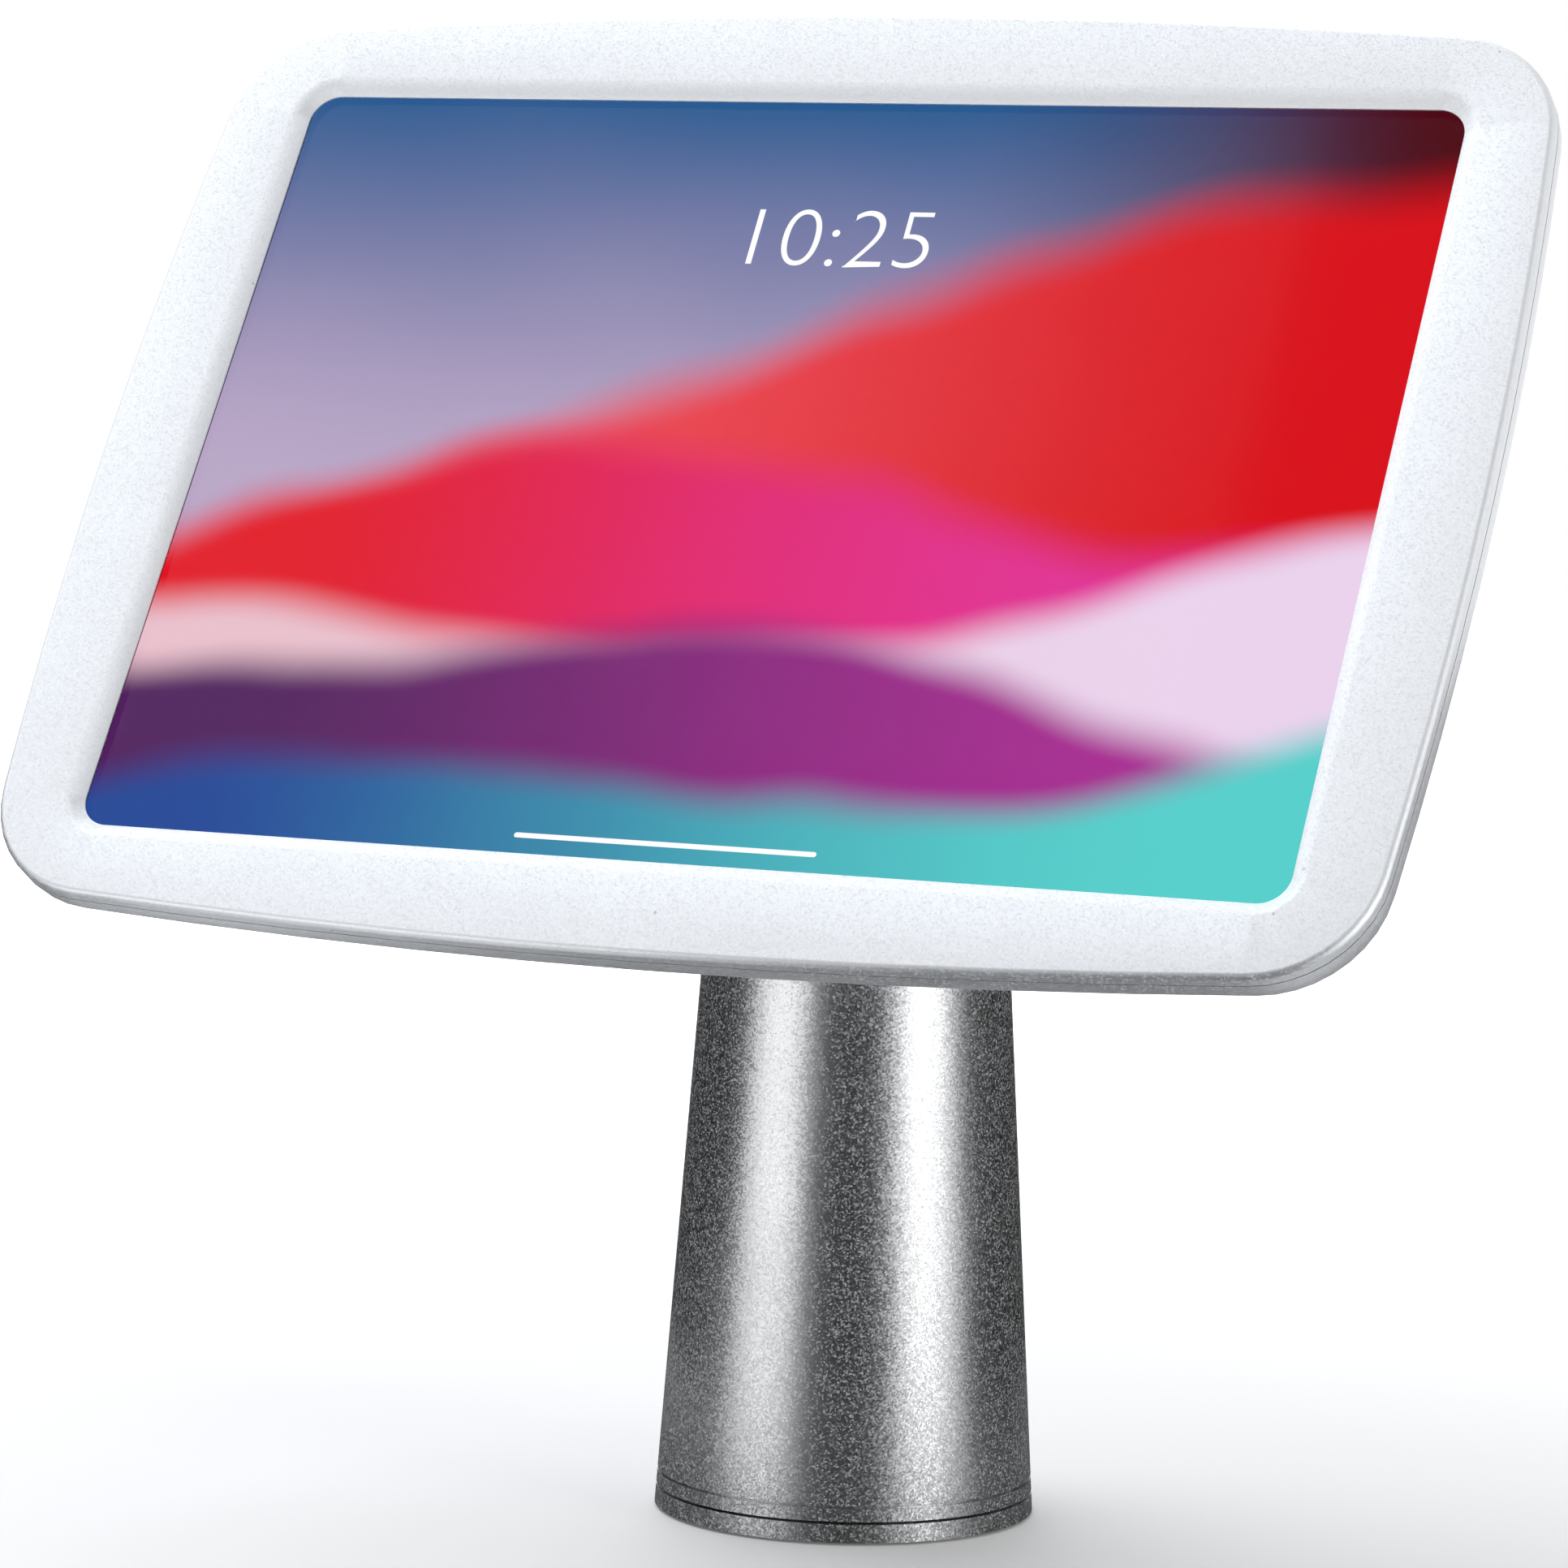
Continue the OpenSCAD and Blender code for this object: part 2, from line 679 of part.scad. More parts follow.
module swivel_carrier() {
    neck_r = cone_r(collar_top) - groove_depth;
    color("silver")
        difference() {
            rotate_extrude()
                polygon([
                    [spindle_r + run_fit, web_bottom],
                    [hub_r + run_gap, web_bottom],
                    [hub_r + run_gap, collar_bottom],
                    [cone_r(collar_bottom), collar_bottom],
                    [cone_r(collar_top), collar_top],
                    [neck_r, collar_top],
                    [neck_r, cone_bottom],
                    [spigot_r - fit, cone_bottom],
                    [spigot_r - fit, web_top],
                    [spindle_r + run_fit, web_top]
                ]);
            rotate(stop_angle - channel_turn / 2)
                rotate_extrude(angle = channel_turn)
                    translate([stop_r - channel_w / 2, web_bottom - over])
                        square([channel_w, stop_channel + over]);
            on_circle(carrier_screw_count, carrier_screw_circle, stop_angle) {
                translate([0, 0, web_bottom - over])
                    cylinder(r = carrier_head_r + screw_fit, h = carrier_head_t + over);
                translate([0, 0, web_bottom]) cylinder(r = carrier_screw_r + screw_fit, h = web_t + over);
            }
        }
}

module carrier_screws() {
    color("gray")
        on_circle(carrier_screw_count, carrier_screw_circle, stop_angle)
            translate([0, 0, web_bottom]) {
                cylinder(r = carrier_head_r, h = carrier_head_t);
                cylinder(r = carrier_screw_r, h = shelf_top + carrier_grip - web_bottom);
            }
}

module cone_shell() {
    color("silver")
        difference() {
            rotate_extrude()
                polygon([
                    [spigot_r, cone_bottom],
                    [cone_r(cone_bottom), cone_bottom],
                    [cone_r(cone_top_z), cone_top_z],
                    [cone_r(cone_top_z) - cone_wall, cone_top_z],
                    [cone_r(shelf_top) - cone_wall, shelf_top],
                    [shelf_r, shelf_top],
                    [shelf_r, shelf_bottom],
                    [spigot_r, shelf_bottom]
                ]);
            on_circle(carrier_screw_count, carrier_screw_circle, stop_angle)
                translate([0, 0, shelf_bottom - over])
                    cylinder(r = carrier_screw_r + screw_fit, h = shelf_t + 2 * over);
            yoke_screw_places() cylinder(r = set_screw_r + fit, h = base_d);
        }
}

module ballast_weight() {
    color("dimgray")
        difference() {
            translate([0, 0, shelf_top]) cylinder(r = ballast_r, h = ballast_len);
            translate([0, 0, shelf_top - over])
                cylinder(r = shelf_r, h = ballast_pocket_top - shelf_top + over);
            translate([0, 0, shelf_top]) cylinder(r = cable_r + ballast_bore_room, h = ballast_len + over);
            on_circle(carrier_screw_count, carrier_screw_circle, stop_angle)
                translate([0, 0, shelf_top - over])
                    cylinder(r = carrier_screw_r + fit, h = carrier_grip + 2 * over);
        }
}

// Places round the plug, each with Z pointing outwards from a set screw's tip
module yoke_screw_places() {
    for (i = [0 : yoke_screw_count - 1])
        translate([0, 0, set_screw_z])
            rotate([0, 90, stop_angle + 360 * i / yoke_screw_count])
                translate([0, 0, plug_r - set_screw_grip])
                    children();
}

// The pair of pockets for two hinge plates, which go into the face at the origin from +Z
module hinge_pockets(x, thickness) {
    both_sides()
        translate([x - fit, -hinge_r - fit, -tenon_len])
            cube([thickness + 2 * fit, 2 * (hinge_r + fit), tenon_len + over]);
}

module tilt_yoke() {
    color("silver")
        difference() {
            union() {
                translate([0, 0, plug_bottom_z]) cylinder(r = plug_r, h = plug_len + over);
                translate([0, 0, cone_top_z])
                    cylinder(r1 = cone_r(cone_top_z), r2 = cone_r(flange_top_z), h = yoke_flange_t);
            }
            translate([0, 0, plug_bottom_z - over])
                cylinder(r = yoke_hole_r, h = plug_len + yoke_flange_t + 2 * over);
            translate([0, 0, flange_top_z]) hinge_pockets(ear_in, ear_t);
            yoke_screw_places() cylinder(r = set_screw_r + fit, h = base_d);
        }
}

module tilt_ears() {
    color("silver")
        translate([0, 0, pivot_z])
            difference() {
                both_sides() hinge_plate(ear_in, ear_t, -pivot_rise - tenon_len);
                translate([-cheek_in, 0, 0])
                    rotate([0, 90, 0]) cylinder(r = tilt_bolt_r + fit, h = 2 * cheek_in);
            }
}

module yoke_set_screws() {
    screw_len = cone_r(set_screw_z) - plug_r + set_screw_grip - run_gap;
    color("dimgray") yoke_screw_places() cylinder(r = set_screw_r, h = screw_len);
}

module yoke_grommet() {
    color("dimgray")
        translate([0, 0, plug_bottom_z]) grommet(yoke_hole_r, plug_len + yoke_flange_t, true);
}

module tilt_bolts() {
    socket_r = tilt_bolt_r * 0.7;
    color("gray")
        translate([0, 0, pivot_z])
            both_sides()
                rotate([0, 90, 0])
                    difference() {
                        union() {
                            translate([0, 0, ear_in])
                                cylinder(r = tilt_bolt_r, h = tilt_head_x - ear_in + over);
                            translate([0, 0, tilt_head_x]) cylinder(r = tilt_head_r, h = tilt_head_t);
                        }
                        translate([0, 0, tilt_head_x + tilt_head_t / 2])
                            cylinder(r = socket_r, h = tilt_head_t, $fn = 6);
                    }
}

module tilt_spring_washers() {
    color("gray")
        translate([0, 0, pivot_z])
            both_sides()
                rotate([0, 90, 0])
                    translate([0, 0, cheek_out])
                        ring(tilt_head_r - run_gap, tilt_bolt_r + fit, tilt_spring_t);
}

module tilt_friction_washers() {
    color("ivory")
        translate([0, 0, pivot_z])
            both_sides()
                rotate([0, 90, 0])
                    translate([0, 0, ear_out]) ring(hinge_r - run_gap, tilt_bolt_r + fit, tilt_washer_t);
}

// The tilting bracket

module tilt_bracket() {
    color("dimgray")
        head()
            difference() {
                translate([0, 0, bracket_reach]) cylinder(r = bracket_r, h = bracket_t);
                translate([0, 0, bracket_reach - over])
                    cylinder(r = stub_r + run_fit, h = bracket_t + 2 * over);
                translate([0, 0, bracket_reach])
                    mirror([0, 0, 1]) hinge_pockets(cheek_in, cheek_t);
                on_circle(1, turn_stop_r, turn_pin_angle)
                    translate([0, 0, bracket_reach - over])
                        cylinder(r = turn_pin_r + fit, h = bracket_t + 2 * over);
            }
}

module tilt_cheeks() {
    color("dimgray")
        head()
            difference() {
                both_sides() hinge_plate(cheek_in, cheek_t, bracket_reach + tenon_len);
                translate([-cheek_out - over, 0, 0])
                    rotate([0, 90, 0]) cylinder(r = tilt_bolt_r + run_fit, h = 2 * (cheek_out + over));
            }
}

module rotation_stop_pin() {
    color("gray")
        head()
            on_circle(1, turn_stop_r, turn_pin_angle)
                translate([0, 0, bracket_reach])
                    cylinder(r = turn_pin_r, h = bracket_t + disc_t + rotor_t - stop_gap);
}

module rotor_friction_disc() {
    color("ivory") head() translate([0, 0, disc_z]) ring(disc_r, stub_r + run_gap, disc_t);
}

// The turning plate and what holds it

module rotor_plate() {
    color("dimgray")
        head()
            difference() {
                union() {
                    translate([0, 0, rotor_z])
                        linear_extrude(rotor_t) rounded_rect(rotor_w, rotor_w, rotor_r);
                    translate([0, 0, stub_end_z])
                        cylinder(r = stub_r, h = rotor_z + rotor_t - stub_end_z);
                }
                translate([0, 0, stub_end_z - over])
                    cylinder(r = stub_bore_r, h = rotor_z + rotor_t - stub_end_z + 2 * over);
                translate([0, 0, rotor_z - over])
                    four_corners(rotor_pitch / 2, rotor_pitch / 2)
                        cylinder(r = rotor_screw_r + screw_fit, h = rotor_t + 2 * over);
                translate([0, 0, rotor_z - over])
                    rotate(turn_pin_angle - turn_limit - turn_slot_margin)
                        rotate_extrude(angle = turn_limit + 2 * turn_slot_margin)
                            translate([turn_stop_r - turn_slot_w / 2, 0])
                                square([turn_slot_w, rotor_t + 2 * over]);
            }
}

module rotor_spring() {
    color("gray")
        head()
            translate([0, 0, rotor_spring_z]) ring(rotor_nut_r - run_gap, stub_r + fit, rotor_spring_t);
}

module rotor_nut() {
    notch_w = rotor_nut_r / 4;
    color("gray")
        head()
            translate([0, 0, rotor_nut_z])
                difference() {
                    ring(rotor_nut_r, stub_r + fit, rotor_nut_t);
                    on_circle(4, rotor_nut_r, 45)
                        translate([-notch_w / 2, -notch_w / 2, -over])
                            cube([notch_w, notch_w, rotor_nut_t / 2 + over]);
                }
}

module rotor_screws() {
    color("gray")
        head()
            four_corners(rotor_pitch / 2, rotor_pitch / 2) {
                translate([0, 0, rotor_z - rotor_head_t]) cylinder(r = rotor_head_r, h = rotor_head_t);
                translate([0, 0, rotor_z - over])
                    cylinder(r = rotor_screw_r, h = over + rotor_t + floor_t + mount_nut_t);
            }
}

module mount_nuts() {
    color("gray")
        head()
            four_corners(rotor_pitch / 2, rotor_pitch / 2)
                translate([0, 0, face_z - pan_floor_d])
                    difference() {
                        cylinder(r = mount_nut_af / 2 / cos(30), h = mount_nut_t, $fn = 6);
                        translate([0, 0, -over])
                            cylinder(r = rotor_screw_r + fit, h = mount_nut_t + 2 * over);
                    }
}

module cable_grommet() {
    color("dimgray")
        head()
            translate([0, 0, face_z - pan_floor_d])
                mirror([0, 0, 1]) grommet(pan_hole_r, floor_t, false);
}

// The frame round the tablet

module pan_rim_profile() {
    back_z = face_z - pan_back_d;
    width = pan_edge_r + lap;
    difference() {
        translate([-width, back_z]) square([width, pan_back_d - floor_d]);
        translate([-pan_edge_r, back_z + pan_edge_r]) mirror([0, 1]) corner_cut(pan_edge_r);
    }
}

module rear_shell() {
    pan_core = 2 * (pan_edge_r + lap / 2);
    back_round = [
        for (a = round_steps())
            [back_r * (1 - sin(a)), shell_back_d - back_r * (1 - cos(a))]
    ];
    shell_levels = concat(back_round, [[0, shell_front_d]]);
    color("white")
        head()
            difference() {
                union() {
                    difference() {
                        loft(shell_levels);
                        slab(shell_front_d - over, floor_d) polygon(outline_points(rim_w));
                    }
                    sweep_rect(pan_w, pan_h, pan_r) pan_rim_profile();
                    slab(floor_d, pan_back_d)
                        rounded_rect(pan_w - pan_core, pan_h - pan_core, pan_r - pan_core / 2);
                    slab(post_d, floor_d + floor_t / 2)
                        four_corners(bezel_screw_x, bezel_screw_y) circle(post_r);
                }
                slab(floor_d - over, pan_floor_d)
                    rounded_rect(pan_pocket_w, pan_pocket_h, pan_r - pan_wall);
                slab(pan_floor_d - over, pan_back_d + over) circle(pan_hole_r);
                slab(pan_floor_d - over, pan_back_d + over)
                    four_corners(rotor_pitch / 2, rotor_pitch / 2) circle(rotor_screw_r + screw_fit);
                slab(post_d - over, shell_back_d + over)
                    four_corners(bezel_screw_x, bezel_screw_y) circle(bezel_screw_r + screw_fit);
                slab(shell_back_d - bezel_head_t - screw_fit, shell_back_d + over)
                    four_corners(bezel_screw_x, bezel_screw_y) circle(bezel_head_r + screw_fit);
            }
}

// What the sloping bevel takes off, measured from its outer edge on the face
module bevel_profile() {
    bevel_depth = bezel_t - glass_recess - window_land;
    inner = -bevel_w - lap;
    polygon([
        [0, face_z], [0, face_z + over], [inner, face_z + over],
        [inner, face_z - bevel_depth], [-bevel_w, face_z - bevel_depth]
    ]);
}

module front_bezel() {
    front_round = [
        for (a = round_steps())
            [bezel_edge_r * (1 - cos(a)), bezel_edge_r * (1 - sin(a))]
    ];
    bezel_levels = concat([[0, bezel_t]], front_round);
    color("white")
        head()
            difference() {
                union() {
                    loft(bezel_levels);
                    slab(bezel_t - over, post_d) four_corners(bezel_screw_x, bezel_screw_y) circle(post_r);
                }
                slab(-over, bezel_t + over) rounded_rect(window_w, window_h, window_r);
                sweep_rect(window_w + 2 * bevel_w, window_h + 2 * bevel_w, window_r + bevel_w)
                    bevel_profile();
                slab(bezel_t - glass_recess, bezel_t + over)
                    rounded_rect(tablet_w + 2 * run_gap, tablet_h + 2 * run_gap, tablet_r + run_gap);
                slab(bezel_t / 2, post_d + over)
                    four_corners(bezel_screw_x, bezel_screw_y) circle(bezel_screw_r + fit);
            }
}

module bezel_screws() {
    pin_r = bezel_head_r / 6;
    head_back_d = shell_back_d - screw_fit;
    color("gray")
        head()
            four_corners(bezel_screw_x, bezel_screw_y)
                difference() {
                    union() {
                        slab(head_back_d - bezel_head_t, head_back_d) circle(bezel_head_r);
                        slab(bezel_t / 2 + run_gap, head_back_d - bezel_head_t / 2) circle(bezel_screw_r);
                    }
                    slab(head_back_d - bezel_head_t / 2, head_back_d + over)
                        difference() {
                            circle(bezel_head_r / 2, $fn = 6);
                            circle(pin_r);
                        }
                }
}

module window_gasket() {
    inset = 2 * gasket_inset;
    color("black")
        head()
            slab(bezel_t - glass_recess, glass_d)
                difference() {
                    rounded_rect(tablet_w - inset, tablet_h - inset, tablet_r - gasket_inset);
                    rounded_rect(window_w + inset, window_h + inset, window_r + gasket_inset);
                }
}

module cradle_pads() {
    edge_x = tablet_w / 2 + pad_gap;
    edge_y = tablet_h / 2 + pad_gap;
    color("dimgray")
        head()
            slab(floor_d - cradle_h, floor_d)
                for (turn = [0, 180])
                    rotate(turn) {
                        translate([edge_x, -cradle_len / 2]) square([cradle_reach_x - edge_x, cradle_len]);
                        for (x = [-cradle_x, cradle_x])
                            translate([x - cradle_len / 2, edge_y])
                                square([cradle_len, cradle_reach_y - edge_y]);
                    }
}

module back_pads() {
    color("dimgray")
        head()
            slab(tablet_back_d, floor_d) {
                for (x = [-back_pad_x, back_pad_x])
                    translate([x, 0]) square([back_pad_w, back_pad_len], center = true);
                for (y = [-back_pad_y, back_pad_y])
                    translate([0, y]) square([pan_pocket_w, back_pad_w], center = true);
            }
}

// The tablet

// A slot or a button across a wall of the case: X is outwards from the inside of the wall
module button_shape(length, gap, back) {
    wide = button_t + 2 * gap;
    translate([-back, -length / 2 - gap, -wide / 2])
        cube([back + case_wall + button_proud, length + 2 * gap, wide]);
}

module button(length) {
    color("gray") {
        button_shape(length, 0, button_collar / 2);
        translate([-button_collar, -length / 2 - button_reach, -button_t / 2])
            cube([button_collar, length + 2 * button_reach, button_t]);
    }
}

module power_place() {
    head()
        translate([-tablet_w / 2 + case_wall, power_y, face_z - button_d])
            rotate(180) children();
}

module volume_place() {
    head()
        translate([-volume_x, tablet_h / 2 - case_wall, face_z - button_d])
            rotate(90) children();
}

module tablet_case() {
    color("gainsboro")
        difference() {
            head()
                difference() {
                    slab(case_d, tablet_back_d) rounded_rect(tablet_w, tablet_h, tablet_r);
                    slab(case_d - over, case_floor_d)
                        rounded_rect(case_inner_w, case_inner_h, tablet_r - case_wall);
                }
            power_place() button_shape(power_len, button_gap, over);
            volume_place() button_shape(volume_len, button_gap, over);
        }
}

module power_button() {
    power_place() button(power_len);
}

module volume_button() {
    volume_place() button(volume_len);
}

module tablet_battery() {
    color("black")
        head()
            slab(case_floor_d - battery_t, case_floor_d)
                translate([battery_x, 0]) square([battery_w, battery_h], center = true);
}

module tablet_board() {
    color("darkgreen")
        head()
            slab(case_floor_d - board_t, case_floor_d)
                translate([board_x, 0]) square([board_w, board_h], center = true);
}

module display_panel() {
    color("royalblue")
        head()
            slab(case_d, case_d + display_t) square([display_w, display_h], center = true);
}

module cover_glass() {
    color("black") head() slab(glass_d, case_d) rounded_rect(tablet_w, tablet_h, tablet_r);
}

base_foot();
foot_pad();
swivel_spindle();
thrust_washer();
friction_washer();
disc_spring();
spindle_nut();
swivel_stop_pin();
swivel_carrier();
cone_shell();
carrier_screws();
ballast_weight();
tilt_yoke();
tilt_ears();
yoke_set_screws();
yoke_grommet();
tilt_bolts();
tilt_spring_washers();
tilt_friction_washers();
tilt_bracket();
tilt_cheeks();
rotation_stop_pin();
rotor_friction_disc();
rotor_plate();
rotor_spring();
rotor_nut();
rotor_screws();
mount_nuts();
cable_grommet();
rear_shell();
front_bezel();
bezel_screws();
window_gasket();
cradle_pads();
back_pads();
tablet_case();
tablet_battery();
tablet_board();
display_panel();
cover_glass();
power_button();
volume_button();
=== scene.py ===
# %% [markdown]
# # A tablet stand for a shop counter
# A tablet sits behind a bevelled frame on a tapered pedestal. The CAD model already holds every
# piece at its real size, so this lesson only dresses it: finishes, the lit picture, smooth skins,
# the light and the camera. All lengths are in metres, and the screen faces -Y, leaning back.

# %% Load the CAD frame
import math

import bmesh
import bpy
from mathutils import Matrix, Vector


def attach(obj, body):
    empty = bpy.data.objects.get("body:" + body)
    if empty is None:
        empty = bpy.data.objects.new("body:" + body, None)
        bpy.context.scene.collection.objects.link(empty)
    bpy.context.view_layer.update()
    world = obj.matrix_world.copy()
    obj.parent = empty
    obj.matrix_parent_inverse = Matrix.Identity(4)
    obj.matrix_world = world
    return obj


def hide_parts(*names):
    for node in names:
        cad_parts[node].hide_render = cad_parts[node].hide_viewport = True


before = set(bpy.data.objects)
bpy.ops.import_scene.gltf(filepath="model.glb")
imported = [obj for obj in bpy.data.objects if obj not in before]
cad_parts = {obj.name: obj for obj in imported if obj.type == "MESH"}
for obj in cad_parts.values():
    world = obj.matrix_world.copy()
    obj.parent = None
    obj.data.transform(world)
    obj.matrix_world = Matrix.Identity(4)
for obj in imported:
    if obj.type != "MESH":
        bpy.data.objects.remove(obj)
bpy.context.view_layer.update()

MM = 0.001

# %% [markdown]
# ## The camera
# The photograph was taken with a long lens from a little to the right and slightly above. A camera
# can be pushed about until the view fits, but it is quicker and more exact to match the corners of
# the frame and the edges of the pedestal to their pixels. The numbers below come from such a fit. A
# long lens flattens perspective, so the stand's two sides stay nearly parallel.

# %% Camera
IMAGE_PX = 1932
FOCAL_PX = 7375.16
SENSOR_MM = 36
CAMERA_DISTANCE = 1126.32 * MM
CAMERA_TARGET = Vector((-15.688, 0, 136.0)) * MM
CAMERA_AZIMUTH, CAMERA_ELEVATION = 23.7496, 5.0389
CAMERA_ROLL = math.radians(-1.3315)


def toward(azimuth_deg, elevation_deg=0):
    """The direction away from the stand: azimuth 0 is the front, and 90 is the right."""
    a, e = math.radians(azimuth_deg), math.radians(elevation_deg)
    return Vector((math.sin(a) * math.cos(e), -math.cos(a) * math.cos(e), math.sin(e)))


def new_object(name, data):
    """An object in the scene that shows this data."""
    thing = bpy.data.objects.new(name, data)
    bpy.context.scene.collection.objects.link(thing)
    return thing


back = toward(CAMERA_AZIMUTH, CAMERA_ELEVATION)
level_right = toward(CAMERA_AZIMUTH + 90)
level_up = back.cross(level_right)
camera_x = math.cos(CAMERA_ROLL) * level_right - math.sin(CAMERA_ROLL) * level_up
camera_y = math.sin(CAMERA_ROLL) * level_right + math.cos(CAMERA_ROLL) * level_up

camera_data = bpy.data.cameras.new("photo_camera")
camera_data.sensor_width = SENSOR_MM
camera_data.lens = FOCAL_PX * SENSOR_MM / IMAGE_PX
camera = new_object("photo_camera", camera_data)
turn = Matrix((camera_x, camera_y, back)).transposed().to_4x4()
camera.matrix_world = Matrix.Translation(CAMERA_TARGET + back * CAMERA_DISTANCE) @ turn
bpy.context.scene.camera = camera
print("Lens, mm:", round(camera_data.lens, 1))

# %% [markdown]
# ## Helpers for finishes
# Colours are picked as the screen shows them, and shaders count in linear light, so one function
# turns a colour code into linear values. A second one adds a shader node with its settings and
# its links in a single line, which keeps each finish short enough to read. Patterns are measured
# in millimetres on the real piece, and a third function turns such a size into a texture's scale.

# %% Colour and node helpers
SOFT_STEP = {"interpolation_type": "SMOOTHSTEP"}


def linear(code):
    """A colour code such as #8090A0, as linear red, green, blue and alpha."""
    parts = [int(code[i:i + 2], 16) / 255 for i in (1, 3, 5)]
    return [c / 12.92 if c <= 0.04045 else ((c + 0.055) / 1.055) ** 2.4 for c in parts] + [1]


def add(tree, kind, inputs=None, **settings):
    """Adds one node and returns it. An input is a number, a colour or another node's output."""
    node = tree.nodes.new("ShaderNode" + kind)
    for name, value in settings.items():
        setattr(node, name, value)
    for name, value in (inputs or {}).items():
        if isinstance(value, bpy.types.NodeSocket):
            tree.links.new(value, node.inputs[name])
        else:
            node.inputs[name].default_value = value
    return node


def new_finish(name, **constants):
    """A material with its node tree and surface shader, whose plain sockets are set by name."""
    material = bpy.data.materials.new(name)
    material.use_nodes = True
    shader = material.node_tree.nodes["Principled BSDF"]
    for socket, value in constants.items():
        shader.inputs[socket.replace("_", " ").replace("ior", "IOR")].default_value = value
    return material, material.node_tree, shader


def per_mm(size):
    """The texture scale that gives features of this size in millimetres."""
    return 1 / (size * MM)


print("White is", linear("#FFFFFF"))

# %% [markdown]
# ## Floor and background
# The stand was shown on plain white. The world is white to the camera and to reflections, so the
# metal mirrors the same background, and softer for the light that falls on the object. The floor
# is white paper. It keeps the shadow close to the stand and glows a little more further out, so
# that it runs into the background without a line. A sheet of paper bent upwards would do that in a
# studio, but a world and a flat floor let the look and the light be set apart.

# %% World
WORLD_FILL = 0.42


def seen_directly(tree):
    """1 for what the camera, a reflection or a look through glass sees, and 0 for lighting."""
    rays = add(tree, "LightPath").outputs
    seen = rays["Is Camera Ray"]
    for kind in ("Is Glossy Ray", "Is Transmission Ray"):
        seen = add(tree, "Math", {0: seen, 1: rays[kind]}, operation="MAXIMUM").outputs[0]
    return seen


world = bpy.data.worlds.new("white_studio")
world.use_nodes = True
bpy.context.scene.world = world
tree = world.node_tree
level = add(tree, "MapRange", {"Value": seen_directly(tree), "To Min": WORLD_FILL, "To Max": 1.0})
sky = tree.nodes["Background"]
sky.inputs["Color"].default_value = linear("#FFFFFF")
tree.links.new(level.outputs[0], sky.inputs["Strength"])
bpy.context.scene.view_settings.view_transform = "Standard"
print("World fill:", WORLD_FILL)

# %% Floor
FLOOR_SIZE = 6.0
FLOOR_DROP = 0.1 * MM
GLOW_NEAR, GLOW_FAR = 0.10, 0.9
GLOW_FROM, GLOW_TO = 0.10, 0.75


def mesh_object(bm, name, material):
    """Turns a bmesh into an object with one finish."""
    mesh = bpy.data.meshes.new(name)
    bm.to_mesh(mesh)
    bm.free()
    mesh.materials.append(material)
    return new_object(name, mesh)


def flat_sheet(width, height):
    """A flat rectangle in the XY plane that faces +Z."""
    bm = bmesh.new()
    bmesh.ops.create_grid(bm, x_segments=1, y_segments=1, size=0.5)
    bmesh.ops.scale(bm, vec=(width, height, 1), verts=bm.verts)
    return bm


def stage_sheet(name, width, height, material):
    """A flat sheet of the set, which isn't part of the stand."""
    thing = mesh_object(flat_sheet(width, height), name, material)
    return thing


floor_paper, tree, shader = new_finish("floor_paper", Roughness=0.9, Specular_ior_Level=0.0)
shader.inputs["Base Color"].default_value = linear("#EFEFEF")
shader.inputs["Emission Color"].default_value = linear("#FFFFFF")
place = add(tree, "TexCoord").outputs["Object"]
reach = add(tree, "VectorMath", {0: place}, operation="LENGTH")
spread = add(tree, "MapRange", {
    "Value": reach.outputs["Value"], "From Min": GLOW_FROM, "From Max": GLOW_TO,
    "To Min": GLOW_NEAR, "To Max": GLOW_FAR,
}, **SOFT_STEP)
glow = add(tree, "Math", {0: spread.outputs[0], 1: seen_directly(tree)}, operation="MULTIPLY")
tree.links.new(glow.outputs[0], shader.inputs["Emission Strength"])
floor = stage_sheet("floor", FLOOR_SIZE, FLOOR_SIZE, floor_paper)
floor.location.z = -FLOOR_DROP
print("Floor:", FLOOR_SIZE, "m square")

# %% [markdown]
# ## Cards
# Metal looks like metal only when it has something to mirror, and a white room alone would leave
# the pedestal flat. A photographer stands cards around it for that. Low dark ones close to the
# pedestal give it a dark middle and dark edges, with a gap behind that lets light in from the
# back. Pale ones higher up keep the frame's edges soft. On the floor, a grey card darkens the
# frame's lower rim, and white ones carry the highlights down to the foot. Only reflections see a
# card, so it shades nothing and lights nothing.

# %% Card papers
CARD_TONES = {"dark": "#202020", "grey": "#606060", "pale": "#C0C0C0", "white": "#F0F0F0"}

card_papers = {}
for tone, code in CARD_TONES.items():
    paper, tree, shader = new_finish("card_" + tone, Roughness=1.0, Specular_ior_Level=0.0)
    shader.inputs["Base Color"].default_value = linear(code)
    card_papers[tone] = paper
print("Card papers:", list(card_papers))

# %% Standing cards
LOW_AIM, HIGH_AIM = 0.075, 0.14
STANDING_CARDS = {
    # azimuth, elevation, distance, width, height, height it looks at, paper
    "card_front": (20, 0, 0.18, 0.19, 0.15, LOW_AIM, "dark"),
    "card_right": (142, 0, 0.18, 0.37, 0.15, LOW_AIM, "dark"),
    "card_left": (-96, 0, 0.18, 0.35, 0.15, LOW_AIM, "dark"),
    "card_above_strip": (-27, 20, 1.3, 0.75, 0.62, HIGH_AIM, "pale"),
    "card_high": (45, 46, 1.5, 1.2, 0.9, HIGH_AIM, "pale"),
}


def reflected_card(name, width, height, tone):
    """A sheet that only reflections see."""
    card = stage_sheet(name, width, height, card_papers[tone])
    card.visible_camera = False
    card.visible_diffuse = False
    card.visible_transmission = False
    card.visible_shadow = False
    return card


